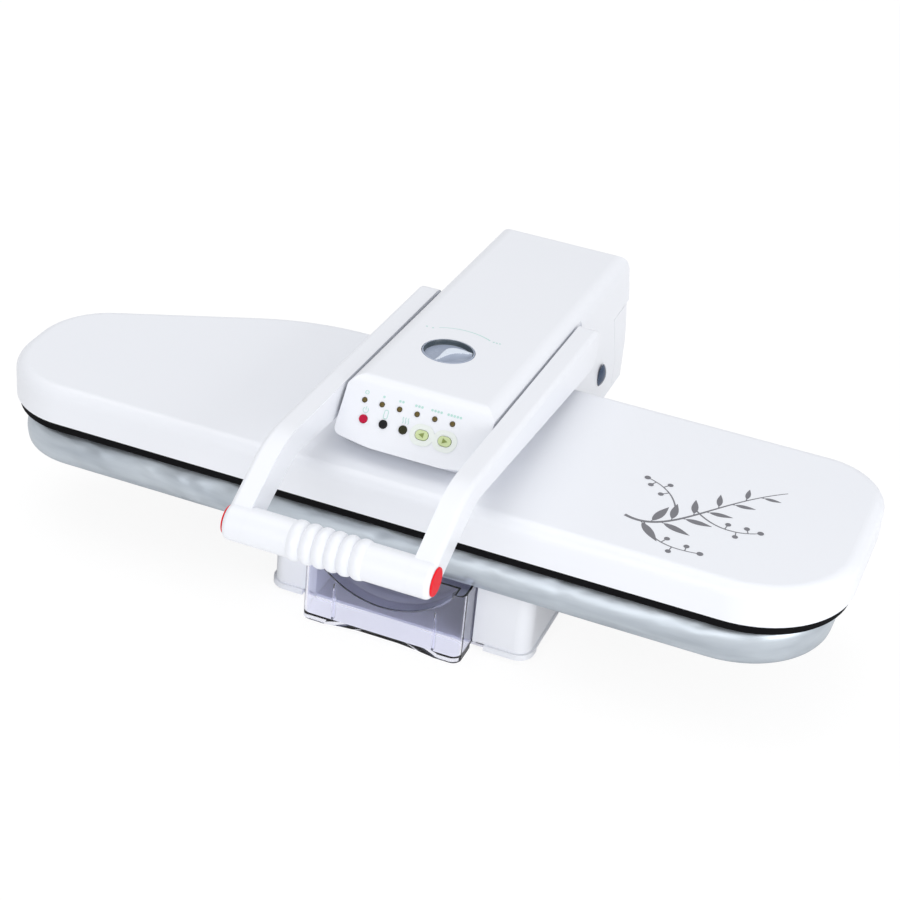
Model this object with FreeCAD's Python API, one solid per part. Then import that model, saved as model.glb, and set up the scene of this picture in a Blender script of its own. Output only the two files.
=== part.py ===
import FreeCAD, Part
import math
import os

# Steam ironing press, closed, in millimetres.
# X runs along the board, Y from the handle to the back, Z up from the table.
# The origin is at the middle of the outer box, on the table.

Vector = FreeCAD.Vector
X_AXIS = Vector(1, 0, 0)
Y_AXIS = Vector(0, 1, 0)
Z_AXIS = Vector(0, 0, 1)

# Outer sizes
plate_length = 832.0
plate_depth = 261.0
overall_depth = 618.0
head_shift = 3.0

# Heights, from the table up
foot_height = 4.0
base_height = 80.0
tray_height = 6.0
pad_thickness = 27.4
press_gap = 0.6
sole_thickness = 12.0
cover_drop = 10.5
cover_height = 37.5
hinge_rise = 7.6

# Common walls and clearances
wall = 2.5
seat_gap = 0.2
part_gap = 0.5
swing_gap = 1.2
running_gap = 0.05
same_place = 0.000001
edge_chamfer = 1.0

# Outline of board and plate
end_front_radius = 98.0
end_rear_radius = 66.0
nose_taper_length = 228.0
nose_depth = 148.0
taper_radius = 260.0
nose_rear_radius = 80.0
nose_front_radius = 75.0

# Board
board_end_setback = 8.0
board_nose_setback = 5.0
tray_inset = 9.0
tray_rib_width = 3.0
tray_rib_pitch = 60.0
pad_inset = 5.5
pad_hem_drop = 9.0
pad_hem_inset = 4.5
pad_shoulder = 8.0
pad_crown_inset = 46.0
pad_crown_rise = 1.6
pad_hem_swell = 0.6
pad_side_swell = 1.2

# Plate
cover_shoulder = 12.0
sole_inset = 3.2
steam_hole_diameter = 4.0
steam_hole_pitch = 52.0
steam_hole_margin = 34.0
post_radius = 7.0
post_foot_radius = 11.0
post_half_pitch = 46.0
post_front_offset = 68.0
post_rear_offset = 180.0
shield_inset = 16.0
shield_rise = 9.0
shield_thickness = 1.2
element_radius = 4.0
element_inset = 30.0
element_gap_half = 60.0

# Base
base_left = 121.0
base_right = 141.0
base_front_setback = 22.0
base_corner_radius = 14.0
stem_half_width = 80.0
stem_lead = 18.0
stem_tail = 40.0
stem_corner_radius = 6.0
base_flange = 2.5
base_flange_height = 6.0
side_slot_height = 3.5
runner_notch_width = 12.0
runner_notch_height = 6.0
floor_thickness = 2.5
foot_radius = 12.0
foot_inset = 22.0
screw_shank_radius = 1.8
screw_head_radius = 3.6
screw_head_height = 2.0
screw_boss_radius = 5.0

# Water tank
tank_half_width = 80.0
tank_shift = 5.5
tank_overhang = 33.0
tank_depth = 122.0
tank_height = 72.0
tank_wall = 2.4
tank_corner = 9.0
tank_skirt_drop = 4.0
tank_arch_half = 56.0
tank_arch_rise = 4.5
dip_radius = 84.0
dip_bottom = 35.0
dip_depth = 13.0
filler_radius = 15.0
filler_setback = 78.0
valve_radius = 6.0
valve_length = 12.0
valve_rise = 14.0
seal_wall = 2.0
seal_length = 3.0
socket_wall = 4.0
hose_radius = 5.0
hose_bore_radius = 3.2
hose_length = 46.0
nozzle_length = 12.0
pump_radius = 17.0
pump_length = 64.0
pump_coil_length = 34.0
pump_coil_half = 23.0
pump_foot_half = 30.0
pump_foot_thickness = 3.0
pump_nose_radius = 8.0

# Hinge and column
hinge_overhang = 105.75
pin_radius = 6.0
spring_clearance = 0.3
bracket_thickness = 3.0
bracket_half_span = 63.0
bracket_head_radius = 22.0
bracket_foot_depth = 26.0
bracket_depth = 70.0
column_half_width = 73.0
column_gap = 24.0
column_front_height = 16.0
column_disc_radius = 37.0
cheek_half_width = 86.0
cheek_back = 49.0
cheek_lip = 8.0
rear_cover_setback = 9.0
spring_wire_radius = 1.6
spring_coil_radius = pin_radius + spring_wire_radius + spring_clearance
spring_pitch = 4.6
spring_turns = 3
spring_inset = 6.0
gland_radius = 9.0
gland_bore_radius = 4.0
gland_flange_radius = 12.0
gland_flange = 3.0
gland_height = 20.0
gland_offset = 40.0

# Hood over the head
hood_front_rise = 64.0
hood_fall = 17.5
hood_front_back = 67.3
hood_half_width = 72.0
flare_height = 95.0
flare_radius = 60.0
hood_edge_radius = 16.0
panel_drop = 49.6
panel_run = 38.0
panel_corner_radius = 18.0
panel_bow = 5.5
panel_bow_radius = 350.0
panel_end_radius = 8.0
hood_back_radius = 6.0
hood_plan_radius = 18.0
visor_undercut = 22.7
hood_skirt_drop = 47.0
chassis_thickness = 2.5
chassis_half_span = 57.0
chassis_front_back = 60.0
chassis_bend_radius = 30.0
chassis_corner_radius = 12.0
chassis_front_radius = 8.0
chassis_height = 26.0
chassis_ear_radius = 20.0
bush_wall = 2.0
bush_flange = 1.5
cap_radius = 12.0
cap_dome = 4.5
cap_stem_radius = 5.0

# Controls
control_shift = -8.4
led_count = 6
led_pitch = 17.3
led_radius = 2.5
led_up = 41.7
led_proud = 1.2
button_up = 24.5
button_pitch = 19.6
button_radius = 4.0
button_proud = 1.6
button_travel = 1.2
button_flange = 1.2
button_hat = 1.6
oval_length = 12.5
oval_width = 9.0
oval_shift = 18.8
oval_pitch = 22.3
bezel_margin = 5.5
bezel_height = 0.8
board_depth_below = 9.0
board_thickness = 1.6
board_half_width = 58.0
board_low = 13.5
board_high = 50.5
standoff_radius = 3.0
knob_back = 157.5
knob_shift = -11.3
knob_radius = 25.3
knob_thickness = 9.0
knob_gap = 0.6
knob_dish = 5.0
knob_blade_half = 3.2
knob_blade_sweep_radius = 40.0
knob_stem_radius = 4.0
knob_stem_length = 14.0
knob_rest_angle = 45.0
regulator_radius = 11.0

# Boiler and steam pipe
boiler_half_width = 44.0
boiler_front_back = 88.0
boiler_depth = 96.0
boiler_height = 24.0
boiler_corner = 8.0
boiler_rib_count = 5
boiler_rib = 3.0
boiler_rib_height = 4.0
pipe_radius = 4.0
pipe_bore = 2.6
pipe_bend = 12.0
pipe_reach = 26.0
pipe_rise = 12.0

# Handle
bar_reach = 129.0
bar_radius = 16.75
bar_rise = 9.0
rib_count = 6
rib_pitch = 11.6
rib_height = 1.5
groove_depth = 1.2
arm_gap = 3.0
arm_splay = 0.5
arm_width = 21.0
arm_pivot_back = 283.0
arm_pivot_rise = 22.5
arm_rear_half = 21.0
arm_rear_rise = 24.5
arm_rear_round = 14.0
arm_rear_gap = 4.5
arm_round_flat = 0.5
arm_bend_reach = 66.0
arm_bend_rise = 61.0
arm_bend_radius = 95.0
arm_under_reach = 88.0
arm_under_rise = 34.5
arm_under_radius = 60.0
arm_edge_radius = 5.0
shaft_radius = 6.0
shaft_seat = 12.0
rod_radius = 5.0
end_cap_radius = 13.0
end_cap_proud = 1.5
end_cap_seat = 4.0

# Places worked out from the sizes above
front_y = -overall_depth / 2
rear_y = overall_depth / 2
bar_y = front_y + bar_radius + rib_height
plate_front_y = bar_y + bar_reach
plate_rear_y = plate_front_y + plate_depth
hinge_y = rear_y - hinge_overhang
base_front_y = plate_front_y + base_front_setback
stem_front_y = hinge_y - stem_lead
base_rear_y = hinge_y + stem_tail
base_top = foot_height + base_height
floor_top = foot_height + floor_thickness
tray_top = base_top + tray_height
pad_top = tray_top + pad_thickness
sole_bottom = pad_top + press_gap
sole_top = sole_bottom + sole_thickness
cover_bottom = sole_bottom + cover_drop
cover_top = cover_bottom + cover_height
hinge_z = pad_top + hinge_rise
bar_z = cover_top + bar_rise
pivot_y = plate_front_y + arm_pivot_back
pivot_z = cover_top + arm_pivot_rise
hood_bottom = cover_top + seat_gap
chassis_bottom = cover_top + seat_gap
chassis_top = chassis_bottom + chassis_thickness
hood_front_y = plate_front_y + hood_front_back
hood_front_z = cover_top + hood_front_rise
hood_rear_z = hood_front_z - hood_fall
hood_slope = hood_fall / (rear_y - hood_front_y)
hood_step_y = pivot_y + arm_rear_half + arm_rear_gap
arm_inner = hood_half_width + arm_gap
arm_inner_front = arm_inner + arm_splay
arm_outer = arm_inner + arm_width
cheek_front_y = plate_rear_y + swing_gap
panel_low_y = hood_front_y - panel_run
panel_low_z = hood_front_z - panel_drop
panel_angle = math.degrees(math.atan2(panel_drop, panel_run))
skirt_bottom = hood_rear_z - hood_skirt_drop
cheek_radius = hinge_z - base_top - swing_gap
cheek_bottom = hinge_z - cheek_radius
cheek_rear_y = hinge_y + cheek_back
bay_half_width = tank_half_width + part_gap * 2
column_front_y = min(plate_rear_y + column_gap, hinge_y - column_disc_radius)
tank_front_y = base_front_y - tank_overhang
tank_rear_y = tank_front_y + tank_depth
tank_bottom = floor_top + part_gap
tank_top = tank_bottom + tank_height
bay_rear_y = tank_rear_y + valve_length / 2
valve_z = tank_bottom + valve_rise


def hood_top(y):
    """Height of the hood's roof at a place along Y."""
    return hood_front_z - hood_slope * (y - hood_front_y)


def plan(z):
    """Place plan points at a height."""
    return lambda u, v: Vector(u, v, z)


def side(x):
    """Place side-view points at a place along X."""
    return lambda u, v: Vector(x, u, v)


def rounded_wire(corners, place):
    """Closed wire through corners (u, v, radius), with an arc at each radius."""
    points = []
    count = len(corners)
    for i, (u, v, radius) in enumerate(corners):
        before = corners[i - 1]
        after = corners[(i + 1) % count]
        here = Vector(u, v, 0)
        back = (Vector(before[0], before[1], 0) - here).normalize()
        ahead = (Vector(after[0], after[1], 0) - here).normalize()
        if radius <= 0:
            points.append((here, None, here))
            continue
        half = back.getAngle(ahead) / 2
        reach = radius / math.tan(half)
        middle = here + (back + ahead).normalize() * (radius / math.sin(half) - radius)
        points.append((here + back * reach, middle, here + ahead * reach))
    edges = []
    for i, (start, middle, end) in enumerate(points):
        if middle is not None:
            arc = Part.Arc(place(start.x, start.y), place(middle.x, middle.y), place(end.x, end.y))
            edges.append(arc.toShape())
        following = points[(i + 1) % count][0]
        if (following - end).Length > same_place:
            edges.append(Part.makeLine(place(end.x, end.y), place(following.x, following.y)))
    return Part.Wire(edges)


def prism(corners, place, travel):
    """Solid swept straight from a rounded outline."""
    return Part.Face(rounded_wire(corners, place)).extrude(travel)


def box(x0, x1, y0, y1, z0, z1):
    """Box between two corners."""
    return Part.makeBox(x1 - x0, y1 - y0, z1 - z0, Vector(x0, y0, z0))


def rectangle(x0, x1, y0, y1, radius):
    """Corners of a rounded rectangle."""
    return [(x0, y0, radius), (x1, y0, radius), (x1, y1, radius), (x0, y1, radius)]


def rod_x(radius, x0, x1, y, z):
    """Round bar along X."""
    return Part.makeCylinder(radius, x1 - x0, Vector(x0, y, z), X_AXIS)


def rod_y(radius, y0, y1, x, z):
    """Round bar along Y."""
    return Part.makeCylinder(radius, y1 - y0, Vector(x, y0, z), Y_AXIS)


def rod_z(radius, z0, z1, x, y):
    """Round bar along Z."""
    return Part.makeCylinder(radius, z1 - z0, Vector(x, y, z0), Z_AXIS)


def join(shapes):
    """One solid fused from touching shapes."""
    shapes = list(shapes)
    return shapes[0].multiFuse(shapes[1:]).removeSplitter()


def mirrored(shape):
    """The shape and its mirror image across the head's middle plane."""
    return [shape, shape.mirror(Vector(0, 0, 0), X_AXIS)]


def drawn_in(outline, inset):
    """Corners of an outline, run counter-clockwise, drawn in by an inset."""
    count = len(outline)
    lines = []
    for i in range(count):
        start = Vector(outline[i][0], outline[i][1], 0)
        end = Vector(outline[(i + 1) % count][0], outline[(i + 1) % count][1], 0)
        along = (end - start).normalize()
        inward = Vector(-along.y, along.x, 0)
        lines.append((start + inward * inset, along))
    corners = []
    for i in range(count):
        (p, d), (q, e) = lines[i - 1], lines[i]
        cross = d.x * e.y - d.y * e.x
        gap = q - p
        reach = (gap.x * e.y - gap.y * e.x) / cross
        corner = p + d * reach
        turn = 1 if cross > 0 else -1
        corners.append((corner.x, corner.y, outline[i][2] - inset * turn))
    return corners


def plate_corners(inset, end_setback=0, nose_setback=0):
    """Outline of board and plate, drawn in by an inset, about the head's middle plane."""
    right = plate_length / 2 - head_shift - end_setback
    left = -plate_length / 2 - head_shift + nose_setback
    outline = [
        (right, plate_front_y, end_front_radius),
        (right, plate_rear_y, end_rear_radius),
        (left + nose_taper_length, plate_rear_y, taper_radius),
        (left, plate_front_y + nose_depth, nose_rear_radius),
        (left, plate_front_y, nose_front_radius),
    ]
    return drawn_in(outline, inset)


def plate_slab(inset, bottom, top):
    """Flat slab with the plate's outline."""
    return prism(plate_corners(inset), plan(bottom), Vector(0, 0, top - bottom))


def board_corners(inset):
    """Outline of the board, whose ends stand back from the plate's."""
    return plate_corners(inset, board_end_setback, board_nose_setback)


def board_slab(inset, bottom, top):
    """Flat slab with the board's outline."""
    return prism(board_corners(inset), plan(bottom), Vector(0, 0, top - bottom))


def edges_at(shape, axis, place, tolerance=running_gap):
    """Edges that lie wholly in one plane square to an axis."""
    found = []
    for edge in shape.Edges:
        limits = edge.BoundBox
        low = getattr(limits, axis + "Min")
        high = getattr(limits, axis + "Max")
        if abs(low - place) < tolerance and abs(high - place) < tolerance:
            found.append(edge)
    return found


def base_corners(inset):
    """Outline of the base: a wide front and a narrow stem under the hinge."""
    outline = [
        (-base_left, base_front_y, base_corner_radius),
        (base_right, base_front_y, base_corner_radius),
        (base_right, stem_front_y, base_corner_radius),
        (stem_half_width, stem_front_y, stem_corner_radius),
        (stem_half_width, base_rear_y, stem_corner_radius),
        (-stem_half_width, base_rear_y, stem_corner_radius),
        (-stem_half_width, stem_front_y, stem_corner_radius),
        (-base_left, stem_front_y, base_corner_radius),
    ]
    return drawn_in(outline, inset)


def base_screw_places():
    """Screw places on the floor of the base."""
    inner = wall + screw_boss_radius + screw_head_height
    front = base_front_y + inner
    middle = stem_front_y - inner
    wide = [(x, y) for x in (-base_left + inner, base_right - inner) for y in (front, middle)]
    beside = wall + screw_boss_radius + part_gap
    stem = stem_half_width - beside
    return wide + [(-stem, base_rear_y - beside), (stem, base_rear_y - beside)]


def rubber_feet():
    """Four feet on the floor of the base."""
    front = base_front_y + foot_inset
    rear = base_rear_y - foot_inset
    stem = stem_half_width - foot_inset
    places = [(-base_left + foot_inset, front), (base_right - foot_inset, front), (-stem, rear), (stem, rear)]
    feet = []
    for x, y in places:
        foot = rod_z(foot_radius, 0, foot_height, x, y)
        feet.append(foot.makeChamfer(edge_chamfer, edges_at(foot, "Z", 0)))
    return Part.makeCompound(feet)


def bottom_plate():
    """Floor of the base, with holes for its screws and cooling slots at the back."""
    inset = wall + seat_gap
    floor = prism(base_corners(inset), plan(foot_height), Vector(0, 0, floor_thickness))
    cuts = []
    for x, y in base_screw_places():
        cuts.append(rod_z(screw_shank_radius + seat_gap, foot_height, floor_top, x, y))
        cuts.append(rod_z(screw_head_radius + seat_gap, foot_height, foot_height + screw_head_height, x, y))
    return floor.cut(Part.makeCompound(cuts))


def base_screws():
    """Pan-head screws that hold the floor to the base."""
    screws = []
    for x, y in base_screw_places():
        head = rod_z(screw_head_radius, foot_height, foot_height + screw_head_height - seat_gap, x, y)
        shank = rod_z(screw_shank_radius, foot_height, floor_top + screw_shank_radius * 4, x, y)
        screws.append(head.fuse(shank).removeSplitter())
    return Part.makeCompound(screws)


def base_housing():
    """Moulded base: walls, deck under the board, tank bay, screw bosses and a flange."""
    outer = prism(base_corners(0), plan(foot_height), Vector(0, 0, base_height))
    flange = prism(base_corners(-base_flange), plan(foot_height), Vector(0, 0, base_flange_height))
    inner = prism(base_corners(wall), plan(foot_height), Vector(0, 0, base_height - wall))
    shell = outer.fuse(flange).cut(inner)
    bay_wall = bay_half_width + wall
    bay_box = box(tank_shift - bay_wall, tank_shift + bay_wall, base_front_y, bay_rear_y + wall,
                  floor_top + seat_gap, base_top)
    bosses = []
    for x, y in base_screw_places():
        boss = rod_z(screw_boss_radius, floor_top, base_top - wall, x, y)
        bosses.append(boss)
    body = join([shell, bay_box] + bosses)
    cuts = [box(tank_shift - bay_half_width, tank_shift + bay_half_width, base_front_y - base_flange,
                bay_rear_y, foot_height, base_top - wall)]
    coupling_hole = valve_radius + socket_wall + seat_gap
    cuts.append(rod_y(coupling_hole, bay_rear_y, bay_rear_y + wall, tank_shift, valve_z))
    for x, y in base_screw_places():
        hole_top = floor_top + screw_shank_radius * 6
        cuts.append(rod_z(screw_shank_radius + seat_gap, floor_top, hole_top, x, y))
    slot_front = base_front_y + base_corner_radius * 1.5
    slot_rear = stem_front_y - base_corner_radius * 1.5
    slot_top = foot_height + side_slot_height
    for x0, x1 in ((base_right - wall, base_right + base_flange), (-base_left - base_flange, -base_left + wall)):
        cuts.append(box(x0, x1, slot_front, slot_rear, foot_height, slot_top))
    notch = bay_half_width + runner_notch_width
    cuts.append(box(tank_shift - notch, tank_shift + notch, base_front_y - base_flange, base_front_y + wall,
                    foot_height, foot_height + runner_notch_height))
    well = box(-bracket_half_span - bracket_thickness * 2, bracket_half_span + bracket_thickness * 2,
               hinge_y - bracket_depth / 2 - part_gap, hinge_y + bracket_depth / 2 + part_gap,
               base_top - wall, base_top)
    cuts.append(well)
    cuts.append(rod_y(gland_radius + seat_gap, base_rear_y - wall, base_rear_y, gland_offset,
                      foot_height + gland_height))
    return body.cut(Part.makeCompound(cuts)).removeSplitter()


def tank_socket():
    """Coupling at the back of the tank bay, with a hose tail."""
    outer_radius = valve_radius + socket_wall
    body = rod_y(outer_radius, bay_rear_y - wall, bay_rear_y + valve_length, tank_shift, valve_z)
    flange = rod_y(outer_radius + socket_wall, bay_rear_y + wall + seat_gap,
                   bay_rear_y + wall + seat_gap + socket_wall, tank_shift, valve_z)
    tail = rod_y(hose_bore_radius - running_gap, bay_rear_y + valve_length,
                 bay_rear_y + valve_length + nozzle_length, tank_shift, valve_z)
    bore = rod_y(valve_radius + seal_wall + part_gap, bay_rear_y - wall, bay_rear_y + valve_length - wall,
                 tank_shift, valve_z)
    return join([body, flange, tail]).cut(bore)


def feed_hose():
    """Short hose from the coupling to the pump."""
    start = bay_rear_y + valve_length + seat_gap
    tube = rod_y(hose_radius, start, start + hose_length, tank_shift, valve_z)
    return tube.cut(rod_y(hose_bore_radius, start, start + hose_length, tank_shift, valve_z))


def pump():
    """Vibration pump: nose, coil block and tail on a foot plate."""
    start = bay_rear_y + valve_length + hose_length - nozzle_length + seat_gap
    nose_end = start + nozzle_length + seat_gap * 2
    nozzle = rod_y(hose_bore_radius - running_gap, start, nose_end, tank_shift, valve_z)
    nose = rod_y(pump_nose_radius, nose_end, nose_end + nozzle_length, tank_shift, valve_z)
    body_start = nose_end + nozzle_length
    barrel = rod_y(pump_radius - part_gap, body_start, body_start + pump_length, tank_shift,
                   valve_z + pump_foot_thickness)
    coil_start = body_start + (pump_length - pump_coil_length) / 2
    coil_end = coil_start + pump_coil_length
    coil = box(tank_shift - pump_coil_half, tank_shift + pump_coil_half, coil_start, coil_end,
               floor_top, valve_z + pump_radius + pump_foot_thickness * 2)
    foot = box(tank_shift - pump_foot_half, tank_shift + pump_foot_half, coil_start, coil_end,
               floor_top, floor_top + pump_foot_thickness)
    return join([nozzle, nose, barrel, coil, foot])


def column_profile(grow):
    """Side view of the column: a low front wall that rises round the hinge."""
    radius = column_disc_radius + grow
    front = column_front_y - grow
    shoulder = base_top + column_front_height + grow
    lower = [(front, base_top, 0), (hinge_y + radius, base_top, 0), (hinge_y + radius, hinge_z, 0),
             (hinge_y - radius, hinge_z, 0), (front, shoulder, 0)]
    return lower, radius


def column_housing():
    """Two side walls round the hinge, joined by a low front wall and a foot plate."""
    lower, radius = column_profile(0)
    outer_x = column_half_width
    block = prism(lower, side(-outer_x), Vector(2 * outer_x, 0, 0))
    block = join([block, rod_x(radius, -outer_x, outer_x, hinge_y, hinge_z)])
    inner_x = outer_x - wall
    hollow = box(-inner_x, inner_x, column_front_y + wall, hinge_y + radius + wall,
                 base_top, hinge_z + radius + wall)
    bore = rod_x(pin_radius + part_gap, -outer_x, outer_x, hinge_y, hinge_z)
    return block.cut(hollow).cut(bore)


def back_corners(inset, start, end):
    """Plan of the head's back, with rounded corners at its end."""
    half = cheek_half_width - inset
    radius = hood_plan_radius - inset
    return [(-half, start, 0), (half, start, 0), (half, end, radius), (-half, end, radius)]


def rear_cover():
    """Back cover of the head: two flared sides and a back wall, open below and to the front."""
    start = cheek_rear_y + part_gap
    end = rear_y - rear_cover_setback
    rise = Vector(0, 0, skirt_bottom - part_gap - cheek_bottom)
    outer = prism(back_corners(0, start, end), plan(cheek_bottom), rise).common(hood_section(0))
    inner = prism(back_corners(wall, start, end - wall), plan(cheek_bottom), rise).common(hood_section(wall))
    return outer.cut(inner)


def hinge_brackets():
    """Two steel plates from the base's floor up to the hinge pin, each with a turned foot."""
    x0 = bracket_half_span
    x1 = bracket_half_span + bracket_thickness
    half = bracket_depth / 2
    outline = [(hinge_y - half, floor_top, 0), (hinge_y + half, floor_top, 0),
               (hinge_y + half, base_top, 0), (hinge_y + bracket_head_radius, hinge_z, 0),
               (hinge_y - bracket_head_radius, hinge_z, 0), (hinge_y - half, base_top, 0)]
    plate = prism(outline, side(x0), Vector(bracket_thickness, 0, 0))
    head = rod_x(bracket_head_radius, x0, x1, hinge_y, hinge_z)
    foot = box(x0 - bracket_foot_depth, x1, hinge_y - half, hinge_y + half, floor_top,
               floor_top + bracket_thickness)
    bracket = join([plate, head, foot])
    bracket = bracket.cut(rod_x(pin_radius + running_gap, x0, x1, hinge_y, hinge_z))
    return Part.makeCompound(mirrored(bracket))


def hinge_pin():
    """Cross pin of the head's hinge."""
    half = column_half_width - part_gap
    pin = rod_x(pin_radius, -half, half, hinge_y, hinge_z)
    return pin.makeChamfer(edge_chamfer, edges_at(pin, "X", half) + edges_at(pin, "X", -half))


def lift_springs():
    """Two torsion coils on the hinge pin that help the head up."""
    height = spring_pitch * spring_turns
    helix = Part.makeHelix(spring_pitch, height, spring_coil_radius)
    ring = Part.Wire(Part.makeCircle(spring_wire_radius, Vector(spring_coil_radius, 0, 0), Y_AXIS))
    coil = Part.Wire(helix).makePipeShell([ring], True, True)
    start = chassis_half_span - chassis_thickness - spring_inset - height
    coil.rotate(Vector(0, 0, 0), Y_AXIS, 90)
    coil.translate(Vector(start, hinge_y, hinge_z))
    return Part.makeCompound(mirrored(coil))


def cord_gland():
    """Bush in the back wall where the mains lead leaves."""
    z = foot_height + gland_height
    bush = rod_y(gland_radius, base_rear_y - wall * 2, base_rear_y, gland_offset, z)
    flange = rod_y(gland_flange_radius, base_rear_y + seat_gap, base_rear_y + gland_flange, gland_offset, z)
    stub = rod_y(gland_radius, base_rear_y, base_rear_y + seat_gap, gland_offset, z)
    bore = rod_y(gland_bore_radius, base_rear_y - wall * 2, base_rear_y + gland_flange, gland_offset, z)
    return join([bush, stub, flange]).cut(bore)


def board_tray():
    """Rigid pan of the ironing board, with cross ribs."""
    slab = board_slab(tray_inset, base_top, tray_top)
    hollow = board_slab(tray_inset + wall, base_top + wall, tray_top)
    right = plate_length / 2 - head_shift
    count = int(plate_length / tray_rib_pitch)
    first = right - plate_length / 2 - tray_rib_pitch * (count - 1) / 2
    ribs = []
    for i in range(count):
        x = first + i * tray_rib_pitch
        rib = box(x - tray_rib_width / 2, x + tray_rib_width / 2, plate_front_y, plate_rear_y,
                  base_top + wall, tray_top)
        ribs.append(rib.common(slab))
    return join([slab.cut(hollow)] + ribs)


def board_pad():
    """Padded cover: sides drawn in to a hem round the tray, and a low crown."""
    hem = tray_top - pad_hem_drop
    levels = [
        (hem, pad_inset + pad_hem_inset),
        (hem + pad_shoulder, pad_inset + pad_hem_swell),
        ((hem + pad_top) / 2, pad_inset),
        (pad_top - pad_crown_rise - pad_shoulder, pad_inset + pad_side_swell),
        (pad_top - pad_crown_rise - pad_shoulder / 3, pad_inset + pad_shoulder / 2),
        (pad_top - pad_crown_rise, pad_inset + pad_shoulder * 1.6),
        (pad_top, pad_inset + pad_crown_inset),
    ]
    wires = [rounded_wire(board_corners(inset), plan(z)) for z, inset in levels]
    pad = Part.makeLoft(wires, True, True)
    return pad.cut(board_slab(tray_inset - part_gap, hem - wall, tray_top))


def tank_outer(inset, y0, z0, z1):
    """Body of the tank drawn in by an inset, with the finger dip in its front."""
    half = tank_half_width - inset
    corners = rectangle(tank_shift - half, tank_shift + half, tank_front_y + inset, tank_rear_y - inset,
                        tank_corner - inset)
    body = prism(corners, plan(z0), Vector(0, 0, z1 - z0))
    centre_z = tank_bottom + dip_bottom + dip_radius
    dip = rod_y(dip_radius + inset, y0, tank_front_y + dip_depth + inset, tank_shift, centre_z)
    return body.cut(dip)


def tank_skirt():
    """Foot of the tank in front of the base, with a shallow arch cut through it."""
    rear = base_front_y - base_flange - part_gap
    low = tank_bottom - tank_skirt_drop
    corners = [(tank_shift - tank_half_width, tank_front_y, tank_corner),
               (tank_shift + tank_half_width, tank_front_y, tank_corner),
               (tank_shift + tank_half_width, rear, 0), (tank_shift - tank_half_width, rear, 0)]
    block = prism(corners, plan(low), Vector(0, 0, tank_skirt_drop + tank_wall / 2))
    ring = (tank_arch_half ** 2 + tank_arch_rise ** 2) / (2 * tank_arch_rise)
    arch = rod_y(ring, tank_front_y - wall, rear + wall, tank_shift, low + tank_arch_rise - ring)
    return block.cut(arch)


def water_tank():
    """Clear tank: a thin shell with a finger dip, an arched skirt below its front and a filler hole."""
    start = tank_front_y - tank_corner
    outer = tank_outer(0, start, tank_bottom, tank_top)
    skirt = tank_skirt()
    inner = tank_outer(tank_wall, start, tank_bottom + tank_wall, tank_top - tank_wall)
    filler = rod_z(filler_radius, tank_top - tank_wall, tank_top, tank_shift, tank_front_y + filler_setback)
    outlet = rod_y(valve_radius + seat_gap, tank_rear_y - tank_wall, tank_rear_y, tank_shift, valve_z)
    return join([outer, skirt]).cut(Part.makeCompound([inner, filler, outlet]))


def tank_valve():
    """Spring valve in the tank's outlet."""
    stem = rod_y(valve_radius, tank_rear_y - tank_wall, tank_rear_y + valve_length - wall,
                 tank_shift, valve_z)
    collar = rod_y(valve_radius + seal_wall, tank_rear_y - tank_wall * 2, tank_rear_y - tank_wall - seat_gap,
                   tank_shift, valve_z)
    neck = rod_y(valve_radius, tank_rear_y - tank_wall * 2, tank_rear_y - tank_wall, tank_shift, valve_z)
    return join([stem, collar, neck])


def tank_seal():
    """Rubber ring on the valve."""
    start = tank_rear_y + valve_length - wall - seal_length * 1.5
    ring = rod_y(valve_radius + seal_wall, start, start + seal_length, tank_shift, valve_z)
    return ring.cut(rod_y(valve_radius + running_gap, start, start + seal_length, tank_shift, valve_z))


def post_places():
    """Places of the sole plate's posts under the chassis."""
    ys = (plate_front_y + post_front_offset, plate_front_y + post_rear_offset)
    return [(x, y) for x in (-post_half_pitch, post_half_pitch) for y in ys]


def pipe_foot_y():
    """Where the steam pipe comes down to the sole plate."""
    return plate_front_y + boiler_front_back - pipe_reach


def plate_cover():
    """Long moulded cover with a rounded shoulder, open below."""
    outer = plate_slab(0, cover_bottom, cover_top)
    outer = outer.makeFillet(cover_shoulder, edges_at(outer, "Z", cover_top))
    inner = plate_slab(wall, cover_bottom, cover_top - wall)
    inner = inner.makeFillet(cover_shoulder - wall, edges_at(inner, "Z", cover_top - wall))
    cuts = [inner]
    for x, y in post_places():
        cuts.append(rod_z(post_radius + part_gap, cover_top - wall, cover_top, x, y))
    cuts.append(rod_z(pipe_radius + part_gap, cover_top - wall, cover_top, 0, pipe_foot_y()))
    return outer.cut(Part.makeCompound(cuts))


def steam_hole_places():
    """Grid of steam holes that stays inside the plate's outline."""
    zone = Part.Face(rounded_wire(plate_corners(steam_hole_margin), plan(sole_bottom)))
    limits = zone.BoundBox
    places = []
    columns = math.ceil(limits.XLength / steam_hole_pitch)
    rows = math.ceil(limits.YLength / steam_hole_pitch)
    x0 = limits.Center.x - steam_hole_pitch * (columns - 1) / 2
    y0 = limits.Center.y - steam_hole_pitch * (rows - 1) / 2
    for i in range(columns):
        for j in range(rows):
            place = Vector(x0 + i * steam_hole_pitch, y0 + j * steam_hole_pitch, sole_bottom)
            clear = all(math.hypot(place.x - x, place.y - y) > post_foot_radius + steam_hole_diameter
                        for x, y in post_places())
            if clear and zone.isInside(place, running_gap, True):
                places.append(place)
    return places


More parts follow.
